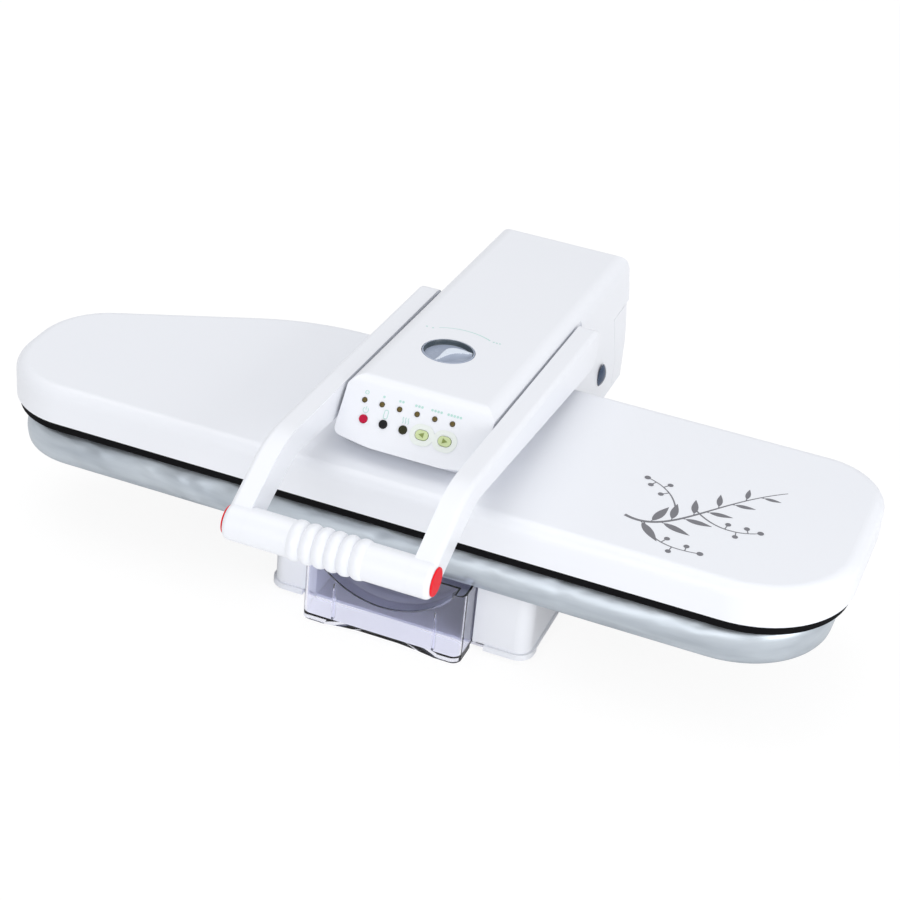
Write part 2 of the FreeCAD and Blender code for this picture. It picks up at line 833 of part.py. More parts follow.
def sole_plate():
    """Cast hot plate with steam holes, four posts and a steam inlet."""
    slab = plate_slab(sole_inset, sole_bottom, sole_top)
    slab = slab.makeChamfer(edge_chamfer, edges_at(slab, "Z", sole_bottom))
    solids = [slab]
    for x, y in post_places():
        solids.append(rod_z(post_foot_radius, sole_top, sole_top + shield_rise, x, y))
        solids.append(rod_z(post_radius, sole_top, chassis_bottom, x, y))
    solids.append(rod_z(pipe_radius * 2, sole_top, sole_top + pipe_rise / 2, 0, pipe_foot_y()))
    plate = join(solids)
    holes = []
    for place in steam_hole_places():
        holes.append(Part.makeCylinder(steam_hole_diameter / 2, sole_thickness / 2, place))
    for x, y in post_places():
        holes.append(rod_z(screw_shank_radius + seat_gap, chassis_bottom - screw_shank_radius * 6,
                           chassis_bottom, x, y))
    return plate.cut(Part.makeCompound(holes))


def heating_element():
    """Tube heater that follows the plate's outline and stops short at the back."""
    z = sole_top + element_radius + seat_gap
    corners = plate_corners(element_inset)
    loop = rounded_wire(corners, plan(z))
    gap = box(-element_gap_half, element_gap_half, (plate_front_y + plate_rear_y) / 2, plate_rear_y,
              z - element_radius, z + element_radius)
    path = Part.Wire(Part.sortEdges(loop.cut(gap).Edges)[0])
    start = path.OrderedVertexes[0].Point
    ring = Part.Wire(Part.makeCircle(element_radius, start, path.OrderedEdges[0].tangentAt(
        path.OrderedEdges[0].FirstParameter)))
    return path.makePipeShell([ring], True, False)


def heat_shield():
    """Sheet that rests on the posts' shoulders, between heater and cover."""
    bottom = sole_top + shield_rise
    sheet = plate_slab(shield_inset, bottom, bottom + shield_thickness)
    cuts = [rod_z(post_radius + part_gap, bottom, bottom + shield_thickness, x, y) for x, y in post_places()]
    cuts.append(rod_z(pipe_radius + part_gap, bottom, bottom + shield_thickness, 0, pipe_foot_y()))
    return sheet.cut(Part.makeCompound(cuts))


def chassis_side(x):
    """One side plate of the chassis, from the front of the head back to the hinge."""
    front = plate_front_y + chassis_front_back
    rear = plate_rear_y + swing_gap
    top = chassis_bottom + chassis_height
    outline = [(front, chassis_bottom, 0), (rear, chassis_bottom, chassis_bend_radius),
               (hinge_y - chassis_ear_radius, hinge_z, 0), (hinge_y + chassis_ear_radius, hinge_z, 0),
               (hinge_y + chassis_ear_radius, top, chassis_corner_radius), (front, top, chassis_front_radius)]
    plate = prism(outline, side(x), Vector(chassis_thickness, 0, 0))
    ear = rod_x(chassis_ear_radius, x, x + chassis_thickness, hinge_y, hinge_z)
    return join([plate, ear])


def head_chassis():
    """Folded steel frame: a floor on the posts and two sides that run back to the hinge."""
    front = plate_front_y + chassis_front_back
    rear = plate_rear_y - chassis_height
    floor = box(-chassis_half_span, chassis_half_span, front, rear, chassis_bottom, chassis_top)
    right = chassis_side(chassis_half_span - chassis_thickness)
    left = chassis_side(-chassis_half_span)
    frame = join([floor, right, left])
    bush_radius = pin_radius + bush_wall
    cuts = [rod_x(bush_radius + running_gap, -chassis_half_span, chassis_half_span, hinge_y, hinge_z),
            rod_x(shaft_radius + bush_wall + running_gap, -chassis_half_span, chassis_half_span,
                  pivot_y, pivot_z)]
    for x, y in post_places():
        cuts.append(rod_z(screw_shank_radius + seat_gap, chassis_bottom, chassis_top, x, y))
    cuts.append(rod_z(pipe_radius + part_gap, chassis_bottom, chassis_top, 0, pipe_foot_y()))
    return frame.cut(Part.makeCompound(cuts))


def chassis_screws():
    """Screws through the chassis floor into the posts."""
    screws = []
    for x, y in post_places():
        shank = rod_z(screw_shank_radius, chassis_bottom - screw_shank_radius * 4, chassis_top, x, y)
        head = rod_z(screw_head_radius, chassis_top, chassis_top + screw_head_height, x, y)
        screws.append(join([shank, head]))
    return Part.makeCompound(screws)


def flanged_bush(bore_radius, y, z):
    """Plain bearing pushed into a chassis side, with its flange outside."""
    x0 = chassis_half_span - chassis_thickness
    x1 = chassis_half_span
    sleeve = rod_x(bore_radius + bush_wall, x0, x1 + seat_gap, y, z)
    flange = rod_x(bore_radius + bush_wall * 2, x1 + seat_gap, x1 + seat_gap + bush_flange, y, z)
    bush = join([sleeve, flange])
    return bush.cut(rod_x(bore_radius + running_gap, x0, x1 + seat_gap + bush_flange, y, z))


def hinge_bushes():
    """Bearings of the head on the hinge pin."""
    return Part.makeCompound(mirrored(flanged_bush(pin_radius, hinge_y, hinge_z)))


def shaft_bushes():
    """Bearings of the handle's shaft."""
    return Part.makeCompound(mirrored(flanged_bush(shaft_radius, pivot_y, pivot_z)))


def steam_boiler():
    """Steam chamber: a cast block with cooling ribs on top."""
    y0 = plate_front_y + boiler_front_back
    y1 = y0 + boiler_depth
    z0 = chassis_top + seat_gap
    corners = rectangle(-boiler_half_width, boiler_half_width, y0, y1, boiler_corner)
    block = prism(corners, plan(z0), Vector(0, 0, boiler_height))
    ribs = []
    pitch = (boiler_depth - boiler_corner * 2) / (boiler_rib_count - 1)
    for i in range(boiler_rib_count):
        y = y0 + boiler_corner + i * pitch
        ribs.append(box(-boiler_half_width + boiler_corner, boiler_half_width - boiler_corner,
                        y - boiler_rib / 2, y + boiler_rib / 2, z0 + boiler_height,
                        z0 + boiler_height + boiler_rib_height))
    cuts = []
    for x, y in post_places():
        cuts.append(rod_z(screw_head_radius + part_gap, z0, z0 + screw_head_height + part_gap, x, y))
    return join([block] + ribs).cut(Part.makeCompound(cuts))


def steam_pipe():
    """Pipe from the chamber's front, bent down to the sole plate's inlet."""
    y0 = plate_front_y + boiler_front_back - seat_gap
    y1 = pipe_foot_y()
    z0 = chassis_top + pipe_rise
    z1 = sole_top + pipe_rise / 2 + seat_gap
    knee = math.sqrt(0.5) * pipe_bend
    arc = Part.Arc(Vector(0, y1 + pipe_bend, z0),
                   Vector(0, y1 + pipe_bend - knee, z0 - pipe_bend + knee),
                   Vector(0, y1, z0 - pipe_bend)).toShape()
    path = Part.Wire([Part.makeLine(Vector(0, y0, z0), Vector(0, y1 + pipe_bend, z0)), arc,
                      Part.makeLine(Vector(0, y1, z0 - pipe_bend), Vector(0, y1, z1))])
    ring = Part.Wire(Part.makeCircle(pipe_radius, Vector(0, y0, z0), Y_AXIS))
    bore = Part.Wire(Part.makeCircle(pipe_bore, Vector(0, y0, z0), Y_AXIS))
    return path.makePipeShell([ring], True, False).cut(path.makePipeShell([bore], True, False))


def hood_section(inset):
    """Flared cross-section of the hood, swept along the roof's slope."""
    start_y = panel_low_y - panel_run
    top = hood_top(start_y) - inset
    low = hinge_z - cheek_radius * 3
    outline = [(-cheek_half_width, low, 0), (cheek_half_width, low, 0),
               (cheek_half_width, top + inset - flare_height, flare_radius),
               (hood_half_width, top + inset, hood_edge_radius),
               (-hood_half_width, top + inset, hood_edge_radius),
               (-cheek_half_width, top + inset - flare_height, flare_radius)]
    corners = drawn_in(outline, inset)
    face = Part.Face(rounded_wire(corners, lambda u, v: Vector(u, start_y, v)))
    length = overall_depth
    return face.extrude(Vector(0, length, -length * hood_slope))


def hood_front_profile(inset, end_y):
    """Side view of the hood's narrow front, with the sloped panel and its undercut."""
    lean = math.radians(panel_angle)
    push = inset / math.sin(lean)
    low_y = panel_low_y + push
    top_y = hood_front_y + inset * math.tan(lean / 2)
    under_y = panel_low_y + visor_undercut + inset
    top = hood_top(top_y) - inset
    reach = end_y - top_y
    return [(under_y, hood_bottom, 0), (low_y + inset * 0.3, panel_low_z + inset * 0.6, 0),
            (top_y, top, panel_corner_radius), (end_y, top - hood_slope * reach, 0), (end_y, hood_bottom, 0)]


def hood_rear_profile(inset, start_y):
    """Side view of the hood's wide back and its cheeks, which are open below."""
    end_y = rear_y - inset
    front_y = cheek_front_y + inset
    ledge = hood_bottom - inset
    open_drop = inset * 2
    slant = cheek_radius * math.sqrt(0.5)
    return [(start_y, hood_top(start_y) - inset, 0), (start_y, ledge, 0), (front_y, ledge, 0),
            (front_y, hood_bottom - cheek_lip - open_drop, 0),
            (hinge_y - slant, hinge_z - slant - open_drop, 0), (hinge_y, cheek_bottom - open_drop, 0),
            (cheek_rear_y, cheek_bottom - open_drop, 0), (cheek_rear_y, skirt_bottom, 0),
            (end_y, skirt_bottom, 0),
            (end_y, hood_top(end_y) - inset, hood_back_radius)]


def panel_outline(inset):
    """Outline of the sloped panel in its own plane, with a bowed lower edge."""
    half = hood_half_width - inset
    low = panel_bow + inset
    return [(half, low, panel_end_radius), (half, overall_depth, 0), (-half, overall_depth, 0),
            (-half, low, panel_end_radius), (0, inset - panel_bow, panel_bow_radius)]


def hood_body(inset):
    """Hood without its hollow, drawn in by an inset."""
    half = hood_half_width - inset
    wide = cheek_half_width - inset + (wall if inset else 0)
    step = hood_step_y + inset
    front = prism(hood_front_profile(inset, step + wall), side(-half), Vector(2 * half, 0, 0))
    bowed = on_panel(prism(panel_outline(inset), plan(-overall_depth), Vector(0, 0, overall_depth * 2)))
    rear = prism(hood_rear_profile(inset, step), side(-wide), Vector(2 * wide, 0, 0))
    disc = rod_x(cheek_radius, -wide, wide, hinge_y, hinge_z)
    back = prism(back_corners(inset, front_y - overall_depth, rear_y - inset), plan(0),
                 Vector(0, 0, hood_front_z + hood_front_rise))
    return join([front.common(bowed), rear, disc]).common(hood_section(inset)).common(back)


def panel_place():
    """Placement of the sloped panel: X across, Y up the slope, Z out of it."""
    return FreeCAD.Placement(Vector(0, panel_low_y, panel_low_z), FreeCAD.Rotation(X_AXIS, panel_angle))


def on_panel(shape):
    """Move a shape from the panel's own frame to its place."""
    shape.Placement = panel_place().multiply(shape.Placement)
    return shape


def roof_place(y):
    """Placement square to the roof at the knob."""
    tilt = -math.degrees(math.atan(hood_slope))
    return FreeCAD.Placement(Vector(knob_shift, y, hood_top(y)), FreeCAD.Rotation(X_AXIS, tilt))


def on_roof(shape):
    """Move a shape from the knob's own frame to its place."""
    shape.Placement = roof_place(plate_front_y + knob_back).multiply(shape.Placement)
    return shape


def led_places():
    """Places of the indicator lenses across the panel."""
    first = control_shift - led_pitch * (led_count - 1) / 2
    return [(first + i * led_pitch, led_up) for i in range(led_count)]


def round_button_places():
    """Places of the three round keys."""
    first = control_shift - button_pitch * 2
    return [(first + i * button_pitch, button_up) for i in range(3)]


def oval_button_places():
    """Places of the two oval keys."""
    first = control_shift + oval_shift
    return [(first, button_up), (first + oval_pitch, button_up)]


def oval(length, width, x, y, low, high):
    """Upright oval prism in the panel's frame."""
    round_end = (width - running_gap) / 2
    corners = rectangle(x - length / 2, x + length / 2, y - width / 2, y + width / 2, round_end)
    return prism(corners, plan(low), Vector(0, 0, high - low))


def standoff_places():
    """Pillars between the panel and the circuit board."""
    reach = board_half_width - standoff_radius
    return [(-reach, (button_up + led_up) / 2), (reach, (button_up + led_up) / 2)]


def head_housing():
    """Moulded hood: sloped panel, flared sides, recesses for the arms and two hinge cheeks."""
    outer = hood_body(0)
    shell = outer.cut(hood_body(wall))
    pillars = []
    for x, y in standoff_places():
        pillars.append(on_panel(rod_z(standoff_radius, -board_depth_below + seat_gap, -wall / 2, x, y)))
    shell = join([shell] + pillars)
    reach = cheek_half_width + wall
    cuts = [rod_x(cap_stem_radius + seat_gap, -reach, reach, hinge_y, hinge_z),
            rod_x(shaft_radius + part_gap, -reach, reach, pivot_y, pivot_z)]
    cuts.append(box(-hood_half_width + wall, hood_half_width - wall, cheek_front_y, hood_step_y + wall * 2,
                    cheek_bottom, hood_bottom + seat_gap))
    for x, y in led_places():
        cuts.append(on_panel(rod_z(led_radius + seat_gap, -wall * 2, wall, x, y)))
    for x, y in round_button_places():
        cuts.append(on_panel(rod_z(button_radius + part_gap / 2, -wall * 2, wall, x, y)))
    for x, y in oval_button_places():
        cuts.append(on_panel(oval(oval_length + part_gap, oval_width + part_gap, x, y, -wall * 2, wall)))
    cuts.append(on_roof(rod_z(knob_radius + knob_gap, -knob_thickness, knob_thickness, 0, 0)))
    return shell.cut(Part.makeCompound(cuts))


def pivot_caps():
    """Domed covers over the ends of the hinge."""
    ball = (cap_radius ** 2 + cap_dome ** 2) / (2 * cap_dome)
    base = cheek_half_width + seat_gap
    dome = Part.makeSphere(ball, Vector(base + cap_dome - ball, hinge_y, hinge_z))
    dome = dome.common(rod_x(cap_radius, base, base + cap_dome, hinge_y, hinge_z))
    stem = rod_x(cap_stem_radius, cheek_half_width - wall, base, hinge_y, hinge_z)
    return Part.makeCompound(mirrored(join([dome, stem])))


def control_board():
    """Circuit board behind the panel, with key switches under the keys."""
    low = -board_depth_below - board_thickness
    board = box(-board_half_width, board_half_width, board_low, board_high, low, -board_depth_below)
    switches = []
    for x, y in round_button_places() + oval_button_places():
        top = -wall - button_flange - button_travel - part_gap
        switches.append(rod_z(button_radius * 0.6, -board_depth_below, top, x, y))
    return on_panel(join([board] + switches))


def led_lenses():
    """Row of domed indicator lenses whose legs stand on the circuit board."""
    lenses = []
    for x, y in led_places():
        body = rod_z(led_radius, -board_depth_below + seat_gap, led_proud, x, y)
        body = body.makeFillet(led_proud, edges_at(body, "Z", led_proud))
        lenses.append(on_panel(body))
    return Part.makeCompound(lenses)


def round_button(index):
    """Round key with a flange behind the panel."""
    x, y = round_button_places()[index]
    cap = rod_z(button_radius, -wall - button_flange, button_proud, x, y)
    cap = cap.makeFillet(button_proud * 0.6, edges_at(cap, "Z", button_proud))
    flange = rod_z(button_radius + button_hat, -wall - button_flange, -wall - seat_gap, x, y)
    return on_panel(join([cap, flange]))


def oval_button(index):
    """Oval key with a flange behind the panel."""
    x, y = oval_button_places()[index]
    cap = oval(oval_length, oval_width, x, y, -wall - button_flange, button_proud)
    cap = cap.makeFillet(button_proud * 0.5, edges_at(cap, "Z", button_proud))
    flange = oval(oval_length + button_hat * 2, oval_width + button_hat * 2, x, y,
                  -wall - button_flange, -wall - seat_gap)
    return on_panel(join([cap, flange]))


def button_bezel():
    """Soft double-oval trim round the two oval keys."""
    rings = []
    holes = []
    for x, y in oval_button_places():
        rings.append(oval(oval_length + bezel_margin * 2, oval_width + bezel_margin * 2, x, y,
                          seat_gap / 2, bezel_height))
        holes.append(oval(oval_length + part_gap * 2, oval_width + part_gap * 2, x, y, 0, bezel_height))
    return on_panel(join(rings).cut(Part.makeCompound(holes)))


def steam_knob():
    """Dished dial with a curved blade across it and a stem below."""
    disc = rod_z(knob_radius, -knob_thickness, 0, 0, 0)
    bowl = (knob_radius ** 2 + knob_dish ** 2) / (2 * knob_dish)
    hollow = Part.makeSphere(bowl, Vector(0, 0, bowl - knob_dish))
    dished = disc.cut(hollow)
    sweep = knob_blade_sweep_radius
    outside = rod_z(sweep, -knob_thickness / 2, 0, 0, -sweep + knob_blade_half)
    inside = rod_z(sweep, -knob_thickness / 2, 0, 0, -sweep - knob_blade_half)
    blade = outside.cut(inside).common(rod_z(knob_radius - knob_gap, -knob_thickness / 2, 0, 0, 0))
    stem = rod_z(knob_stem_radius, -knob_thickness - knob_stem_length, -knob_thickness, 0, 0)
    knob = join([dished, blade, stem])
    knob.rotate(Vector(0, 0, 0), Z_AXIS, knob_rest_angle)
    return on_roof(knob)


def knob_valve():
    """Steam regulator on the chamber, with a bore for the knob's stem."""
    y = plate_front_y + knob_back
    bottom = chassis_top + boiler_height + boiler_rib_height + seat_gap * 2
    top = -knob_thickness - part_gap * 2
    base = rod_z(regulator_radius, bottom, bottom + wall, knob_shift, y)
    low = bottom - hood_top(y)
    barrel = on_roof(rod_z(regulator_radius * 0.8, low + wall / 2, top, 0, 0))
    bore_end = -knob_thickness - knob_stem_length - part_gap
    bore = on_roof(rod_z(knob_stem_radius + running_gap, bore_end, top, 0, 0))
    return join([base, barrel]).cut(bore)


def arm_profile():
    """Side view of an arm: round at the pivot, level over the head, bent down to the bar."""
    rear = pivot_y + arm_rear_half
    top_bend = (bar_y + arm_bend_reach, cover_top + arm_bend_rise, arm_bend_radius)
    under_bend = (bar_y + arm_under_reach, cover_top + arm_under_rise, arm_under_radius)
    round_end = arm_rear_half - arm_round_flat
    nose = (bar_y - bar_radius * 0.22, bar_z + bar_radius * 0.84, 0)
    heel = (bar_y + bar_radius * 0.45, bar_z - bar_radius * 0.88, 0)
    return [(rear, pivot_z + arm_rear_rise, arm_rear_round), top_bend, nose, heel, under_bend,
            (rear, pivot_z - arm_rear_half, round_end)]


def arm_plan():
    """Top view of an arm: its inner face stands back towards the bar."""
    rear = pivot_y + arm_rear_half * 2
    bend = bar_y + arm_bend_reach * 2
    tip = bar_y - bar_radius * 2
    seat = bar_y + bar_radius + rib_height
    return [(arm_inner, rear, 0), (arm_inner, bend, 0), (arm_inner_front, seat, 0),
            (arm_inner_front, tip, 0), (arm_outer, tip, 0), (arm_outer, rear, 0)]


def handle_arm():
    """Right arm of the handle, with its seats for shaft, rod and end cap."""
    width = arm_outer - arm_inner
    body = prism(arm_profile(), side(arm_inner), Vector(width, 0, 0))
    boss = rod_x(bar_radius, arm_inner, arm_outer, bar_y, bar_z)
    blank = prism(arm_plan(), plan(0), Vector(0, 0, hood_front_z + arm_rear_half))
    arm = join([body, boss]).common(blank).removeSplitter()
    arm = arm.makeFillet(arm_edge_radius, edges_at(arm, "X", arm_outer))
    cuts = [rod_x(shaft_radius + running_gap, arm_inner, arm_outer - shaft_seat / 2, pivot_y, pivot_z),
            rod_x(rod_radius + running_gap, arm_inner, arm_outer, bar_y, bar_z),
            rod_x(end_cap_radius - wall + seat_gap, arm_outer - end_cap_seat, arm_outer, bar_y, bar_z)]
    return arm.cut(Part.makeCompound(cuts))


def handle_bar():
    """Bar between the arms, with rounded grip ribs at its middle."""
    half = arm_inner_front - running_gap
    grip_half = rib_pitch * rib_count / 2
    edges = []
    axis_start = Vector(-half, bar_y, bar_z)
    axis_end = Vector(half, bar_y, bar_z)

    def point(x, radius):
        return Vector(x, bar_y, bar_z + radius)

    edges.append(Part.makeLine(axis_start, point(-half, bar_radius)))
    edges.append(Part.makeLine(point(-half, bar_radius), point(-grip_half, bar_radius)))
    valleys = [bar_radius] + [bar_radius - groove_depth] * (rib_count - 1) + [bar_radius]
    for i in range(rib_count):
        start = -grip_half + i * rib_pitch
        edges.append(Part.Arc(point(start, valleys[i]),
                              point(start + rib_pitch / 2, bar_radius + rib_height),
                              point(start + rib_pitch, valleys[i + 1])).toShape())
    edges.append(Part.makeLine(point(grip_half, bar_radius), point(half, bar_radius)))
    edges.append(Part.makeLine(point(half, bar_radius), axis_end))
    edges.append(Part.makeLine(axis_end, axis_start))
    bar = Part.Face(Part.Wire(edges)).revolve(axis_start, X_AXIS, 360)
    return bar.cut(rod_x(rod_radius + running_gap, -half, half, bar_y, bar_z))


def handle_rod():
    """Steel rod that ties the arms through the bar."""
    half = arm_outer - end_cap_seat - seat_gap
    return rod_x(rod_radius, -half, half, bar_y, bar_z)


def handle_shaft():
    """Cross shaft that carries both arms on the head."""
    half = arm_outer - shaft_seat / 2 - seat_gap
    return rod_x(shaft_radius, -half, half, pivot_y, pivot_z)


def end_cap():
    """Domed red cap over the right end of the rod."""
    face = arm_outer + seat_gap
    disc = rod_x(end_cap_radius, face, face + end_cap_proud, bar_y, bar_z)
    disc = disc.makeFillet(end_cap_proud * 0.8, edges_at(disc, "X", face + end_cap_proud))
    plug = rod_x(end_cap_radius - wall, arm_outer - end_cap_seat, face, bar_y, bar_z)
    return join([disc, plug])


def left_of(shape):
    """Mirror image across the head's middle plane."""
    return mirrored(shape)[1]


nodes = {
    "rubber_feet": rubber_feet(),
    "bottom_plate": bottom_plate(),
    "base_screws": base_screws(),
    "base_housing": base_housing(),
    "tank_socket": tank_socket(),
    "feed_hose": feed_hose(),
    "pump": pump(),
    "column_housing": column_housing(),
    "rear_cover": rear_cover(),
    "hinge_brackets": hinge_brackets(),
    "hinge_pin": hinge_pin(),
    "lift_springs": lift_springs(),
    "cord_gland": cord_gland(),
    "board_tray": board_tray(),
    "board_pad": board_pad(),
    "water_tank": water_tank(),
    "tank_valve": tank_valve(),
    "tank_seal": tank_seal(),
    "plate_cover": plate_cover(),
    "sole_plate": sole_plate(),
    "heating_element": heating_element(),
    "heat_shield": heat_shield(),
    "head_chassis": head_chassis(),
    "chassis_screws": chassis_screws(),
    "hinge_bushes": hinge_bushes(),
    "shaft_bushes": shaft_bushes(),
    "steam_boiler": steam_boiler(),
    "steam_pipe": steam_pipe(),
    "head_housing": head_housing(),
    "pivot_caps": pivot_caps(),
    "control_board": control_board(),
    "led_lenses": led_lenses(),
    "button_bezel": button_bezel(),
    "knob_valve": knob_valve(),
    "steam_knob": steam_knob(),
    "power_button": round_button(0),
    "tone_button": round_button(1),
    "steam_button": round_button(2),
    "down_button": oval_button(0),
    "up_button": oval_button(1),
    "handle_arm_right": handle_arm(),
    "handle_arm_left": left_of(handle_arm()),
    "handle_bar": handle_bar(),
    "handle_rod": handle_rod(),
    "handle_shaft": handle_shaft(),
    "end_cap_right": end_cap(),
    "end_cap_left": left_of(end_cap()),
}

os.makedirs("parts", exist_ok=True)
for name, shape in nodes.items():
    placed = shape.copy()
    placed.translate(Vector(head_shift, 0, 0))
    placed.exportStep("parts/" + name + ".step")
    print(name, len(placed.Solids), placed.isValid(), round(placed.Volume))
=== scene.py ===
import math

import bmesh
import bpy
from mathutils import Matrix, Vector, noise


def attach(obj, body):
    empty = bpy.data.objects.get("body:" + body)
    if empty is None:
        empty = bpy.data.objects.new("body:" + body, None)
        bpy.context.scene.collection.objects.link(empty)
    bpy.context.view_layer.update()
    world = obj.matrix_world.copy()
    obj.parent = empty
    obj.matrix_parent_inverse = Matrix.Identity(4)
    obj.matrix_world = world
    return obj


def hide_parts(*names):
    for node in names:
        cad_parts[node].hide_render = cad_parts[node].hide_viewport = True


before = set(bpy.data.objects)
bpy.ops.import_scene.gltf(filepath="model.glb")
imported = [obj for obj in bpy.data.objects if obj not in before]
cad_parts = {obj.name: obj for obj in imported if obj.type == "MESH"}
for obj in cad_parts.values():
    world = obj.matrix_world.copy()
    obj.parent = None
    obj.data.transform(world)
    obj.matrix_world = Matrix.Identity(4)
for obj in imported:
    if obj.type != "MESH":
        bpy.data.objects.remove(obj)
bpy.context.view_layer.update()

# Floor and feet of the base
# A pale moulded floor closes the base from below, held by zinc-plated screws.
# Four soft rubber feet stand on the table.
mm = 0.001


def skin_group():
    """Shared finish of moulded surfaces: fine grain, faint change of tone and of gloss."""
    group = bpy.data.node_groups.new("moulded_skin", "ShaderNodeTree")
    face = group.interface
    for name, kind, start in (
        ("Colour", "NodeSocketColor", (0.8, 0.8, 0.8, 1)),
        ("Shade", "NodeSocketColor", (0.75, 0.75, 0.78, 1)),
        ("Rough", "NodeSocketFloat", 0.3),
        ("Smudge", "NodeSocketFloat", 0.06),
        ("Grain Size", "NodeSocketFloat", 900.0),
        ("Grain Depth", "NodeSocketFloat", 0.05),
    ):
        face.new_socket(name=name, in_out="INPUT", socket_type=kind).default_value = start
    face.new_socket(name="Colour", in_out="OUTPUT", socket_type="NodeSocketColor")
    face.new_socket(name="Roughness", in_out="OUTPUT", socket_type="NodeSocketFloat")
    face.new_socket(name="Normal", in_out="OUTPUT", socket_type="NodeSocketVector")
    nodes, links = group.nodes, group.links
    entry = nodes.new("NodeGroupInput")
    leave = nodes.new("NodeGroupOutput")
    place = nodes.new("ShaderNodeTexCoord")
    broad = nodes.new("ShaderNodeTexNoise")
    broad.inputs["Scale"].default_value = 9.0
    broad.inputs["Detail"].default_value = 2.0
    links.new(place.outputs["Object"], broad.inputs["Vector"])
    tone = nodes.new("ShaderNodeMix")
    tone.data_type = "RGBA"
    links.new(broad.outputs["Fac"], tone.inputs["Factor"])
    links.new(entry.outputs["Colour"], tone.inputs["A"])
    links.new(entry.outputs["Shade"], tone.inputs["B"])
    links.new(tone.outputs["Result"], leave.inputs["Colour"])
    smear = nodes.new("ShaderNodeTexNoise")
    smear.inputs["Scale"].default_value = 30.0
    smear.inputs["Detail"].default_value = 3.0
    links.new(place.outputs["Object"], smear.inputs["Vector"])
    level = nodes.new("ShaderNodeMath")
    level.operation = "MULTIPLY_ADD"
    links.new(smear.outputs["Fac"], level.inputs[0])
    links.new(entry.outputs["Smudge"], level.inputs[1])
    links.new(entry.outputs["Rough"], level.inputs[2])
    links.new(level.outputs["Value"], leave.inputs["Roughness"])
    grain = nodes.new("ShaderNodeTexNoise")
    grain.inputs["Detail"].default_value = 2.0
    links.new(place.outputs["Object"], grain.inputs["Vector"])
    links.new(entry.outputs["Grain Size"], grain.inputs["Scale"])
    bump = nodes.new("ShaderNodeBump")
    bump.inputs["Distance"].default_value = 0.0004
    links.new(entry.outputs["Grain Depth"], bump.inputs["Strength"])
    links.new(grain.outputs["Fac"], bump.inputs["Height"])
    links.new(bump.outputs["Normal"], leave.inputs["Normal"])
    return group


moulded_skin = skin_group()


def moulded(name, colour, shade, rough, smudge=0.06, grain=900.0, depth=0.05,
            metallic=0.0, specular=0.5):
    """Material of one moulded, cast or turned finish."""
    material = bpy.data.materials.new(name)
    material.use_nodes = True
    tree = material.node_tree
    shader = tree.nodes["Principled BSDF"]
    shader.inputs["Metallic"].default_value = metallic
    shader.inputs["Specular IOR Level"].default_value = specular
    skin = tree.nodes.new("ShaderNodeGroup")
    skin.node_tree = moulded_skin
    skin.inputs["Colour"].default_value = (*colour, 1)
    skin.inputs["Shade"].default_value = (*shade, 1)
    skin.inputs["Rough"].default_value = rough
    skin.inputs["Smudge"].default_value = smudge
    skin.inputs["Grain Size"].default_value = grain
    skin.inputs["Grain Depth"].default_value = depth
    tree.links.new(skin.outputs["Colour"], shader.inputs["Base Color"])
    tree.links.new(skin.outputs["Roughness"], shader.inputs["Roughness"])
    tree.links.new(skin.outputs["Normal"], shader.inputs["Normal"])
    return material


def dress(material, *names):
    """Give CAD nodes their finish."""
    for name in names:
        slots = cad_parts[name].data.materials
        slots.clear()
        slots.append(material)


foot_rubber = moulded("foot_rubber", (0.022, 0.022, 0.024), (0.035, 0.035, 0.036),
                      rough=0.62, smudge=0.2, grain=700, depth=0.25)
floor_grey = moulded("floor_grey", (0.16, 0.165, 0.175), (0.19, 0.195, 0.2),
                     rough=0.5, smudge=0.12, grain=1100, depth=0.3)
zinc = moulded("zinc_plate", (0.62, 0.63, 0.65), (0.5, 0.51, 0.54),
               rough=0.28, smudge=0.16, grain=350, depth=0.08, metallic=1.0)
pale_floor = moulded("pale_floor", (0.78, 0.785, 0.84), (0.75, 0.755, 0.81),
                     rough=0.45, smudge=0.1)
dress(foot_rubber, "rubber_feet")
dress(pale_floor, "bottom_plate")
dress(zinc, "base_screws")

# Base housing
# White gloss moulding that carries the board, with a bay for the tank in its front.
# A low flange runs round its foot. The column round the hinge is of the same plastic.
white_gloss = moulded("white_gloss", (0.825, 0.842, 0.885), (0.812, 0.83, 0.878),
                      rough=0.3, smudge=0.05, grain=500, depth=0.008)
dress(white_gloss, "base_housing", "column_housing")

# Pump, coupling and hose inside the base
# The black moulded pump draws water through a grey coupling at the back of the tank bay.
# A short clear silicone hose joins the two.
pump_black = moulded("pump_black", (0.06, 0.062, 0.068), (0.08, 0.08, 0.085),
                     rough=0.42, smudge=0.1, grain=800, depth=0.15)
hose_clear = moulded("hose_silicone", (0.72, 0.74, 0.72), (0.66, 0.68, 0.66),
                     rough=0.4, smudge=0.1)
dress(pump_black, "pump")
dress(floor_grey, "tank_socket")
dress(hose_clear, "feed_hose")

# Hinge stand
# Two folded steel plates, zinc plated, carry the cross pin.
# Two coil springs on the pin help the head up. A rubber bush lines a hole in the back wall.
dress(zinc, "hinge_brackets", "hinge_pin", "lift_springs")
dress(foot_rubber, "cord_gland")

# Board tray
# Ribbed pan of grey plastic, moulded in one piece and carried by the base housing.
# The padded cover closes it off, so it is seen only from below.
dress(floor_grey, "board_tray")

# Board pad
# Foam under a metallised silver cloth, drawn in by a cord round the rim of the tray.
# The cloth is tight over the crown, bulges at its sides and gathers slightly at the hem.
# Shallow creases lie across its narrow end.
board_right = 408.0
board_left = -411.0
board_front = -161.75
board_rear = 99.25
board_corners = (
    (board_right, board_front, 98.0),
    (board_right, board_rear, 66.0),
    (board_left + 228.0, board_rear, 260.0),
    (board_left, board_front + 148.0, 80.0),
    (board_left, board_front, 75.0),
)
pad_around = 300
arc_steps = 40


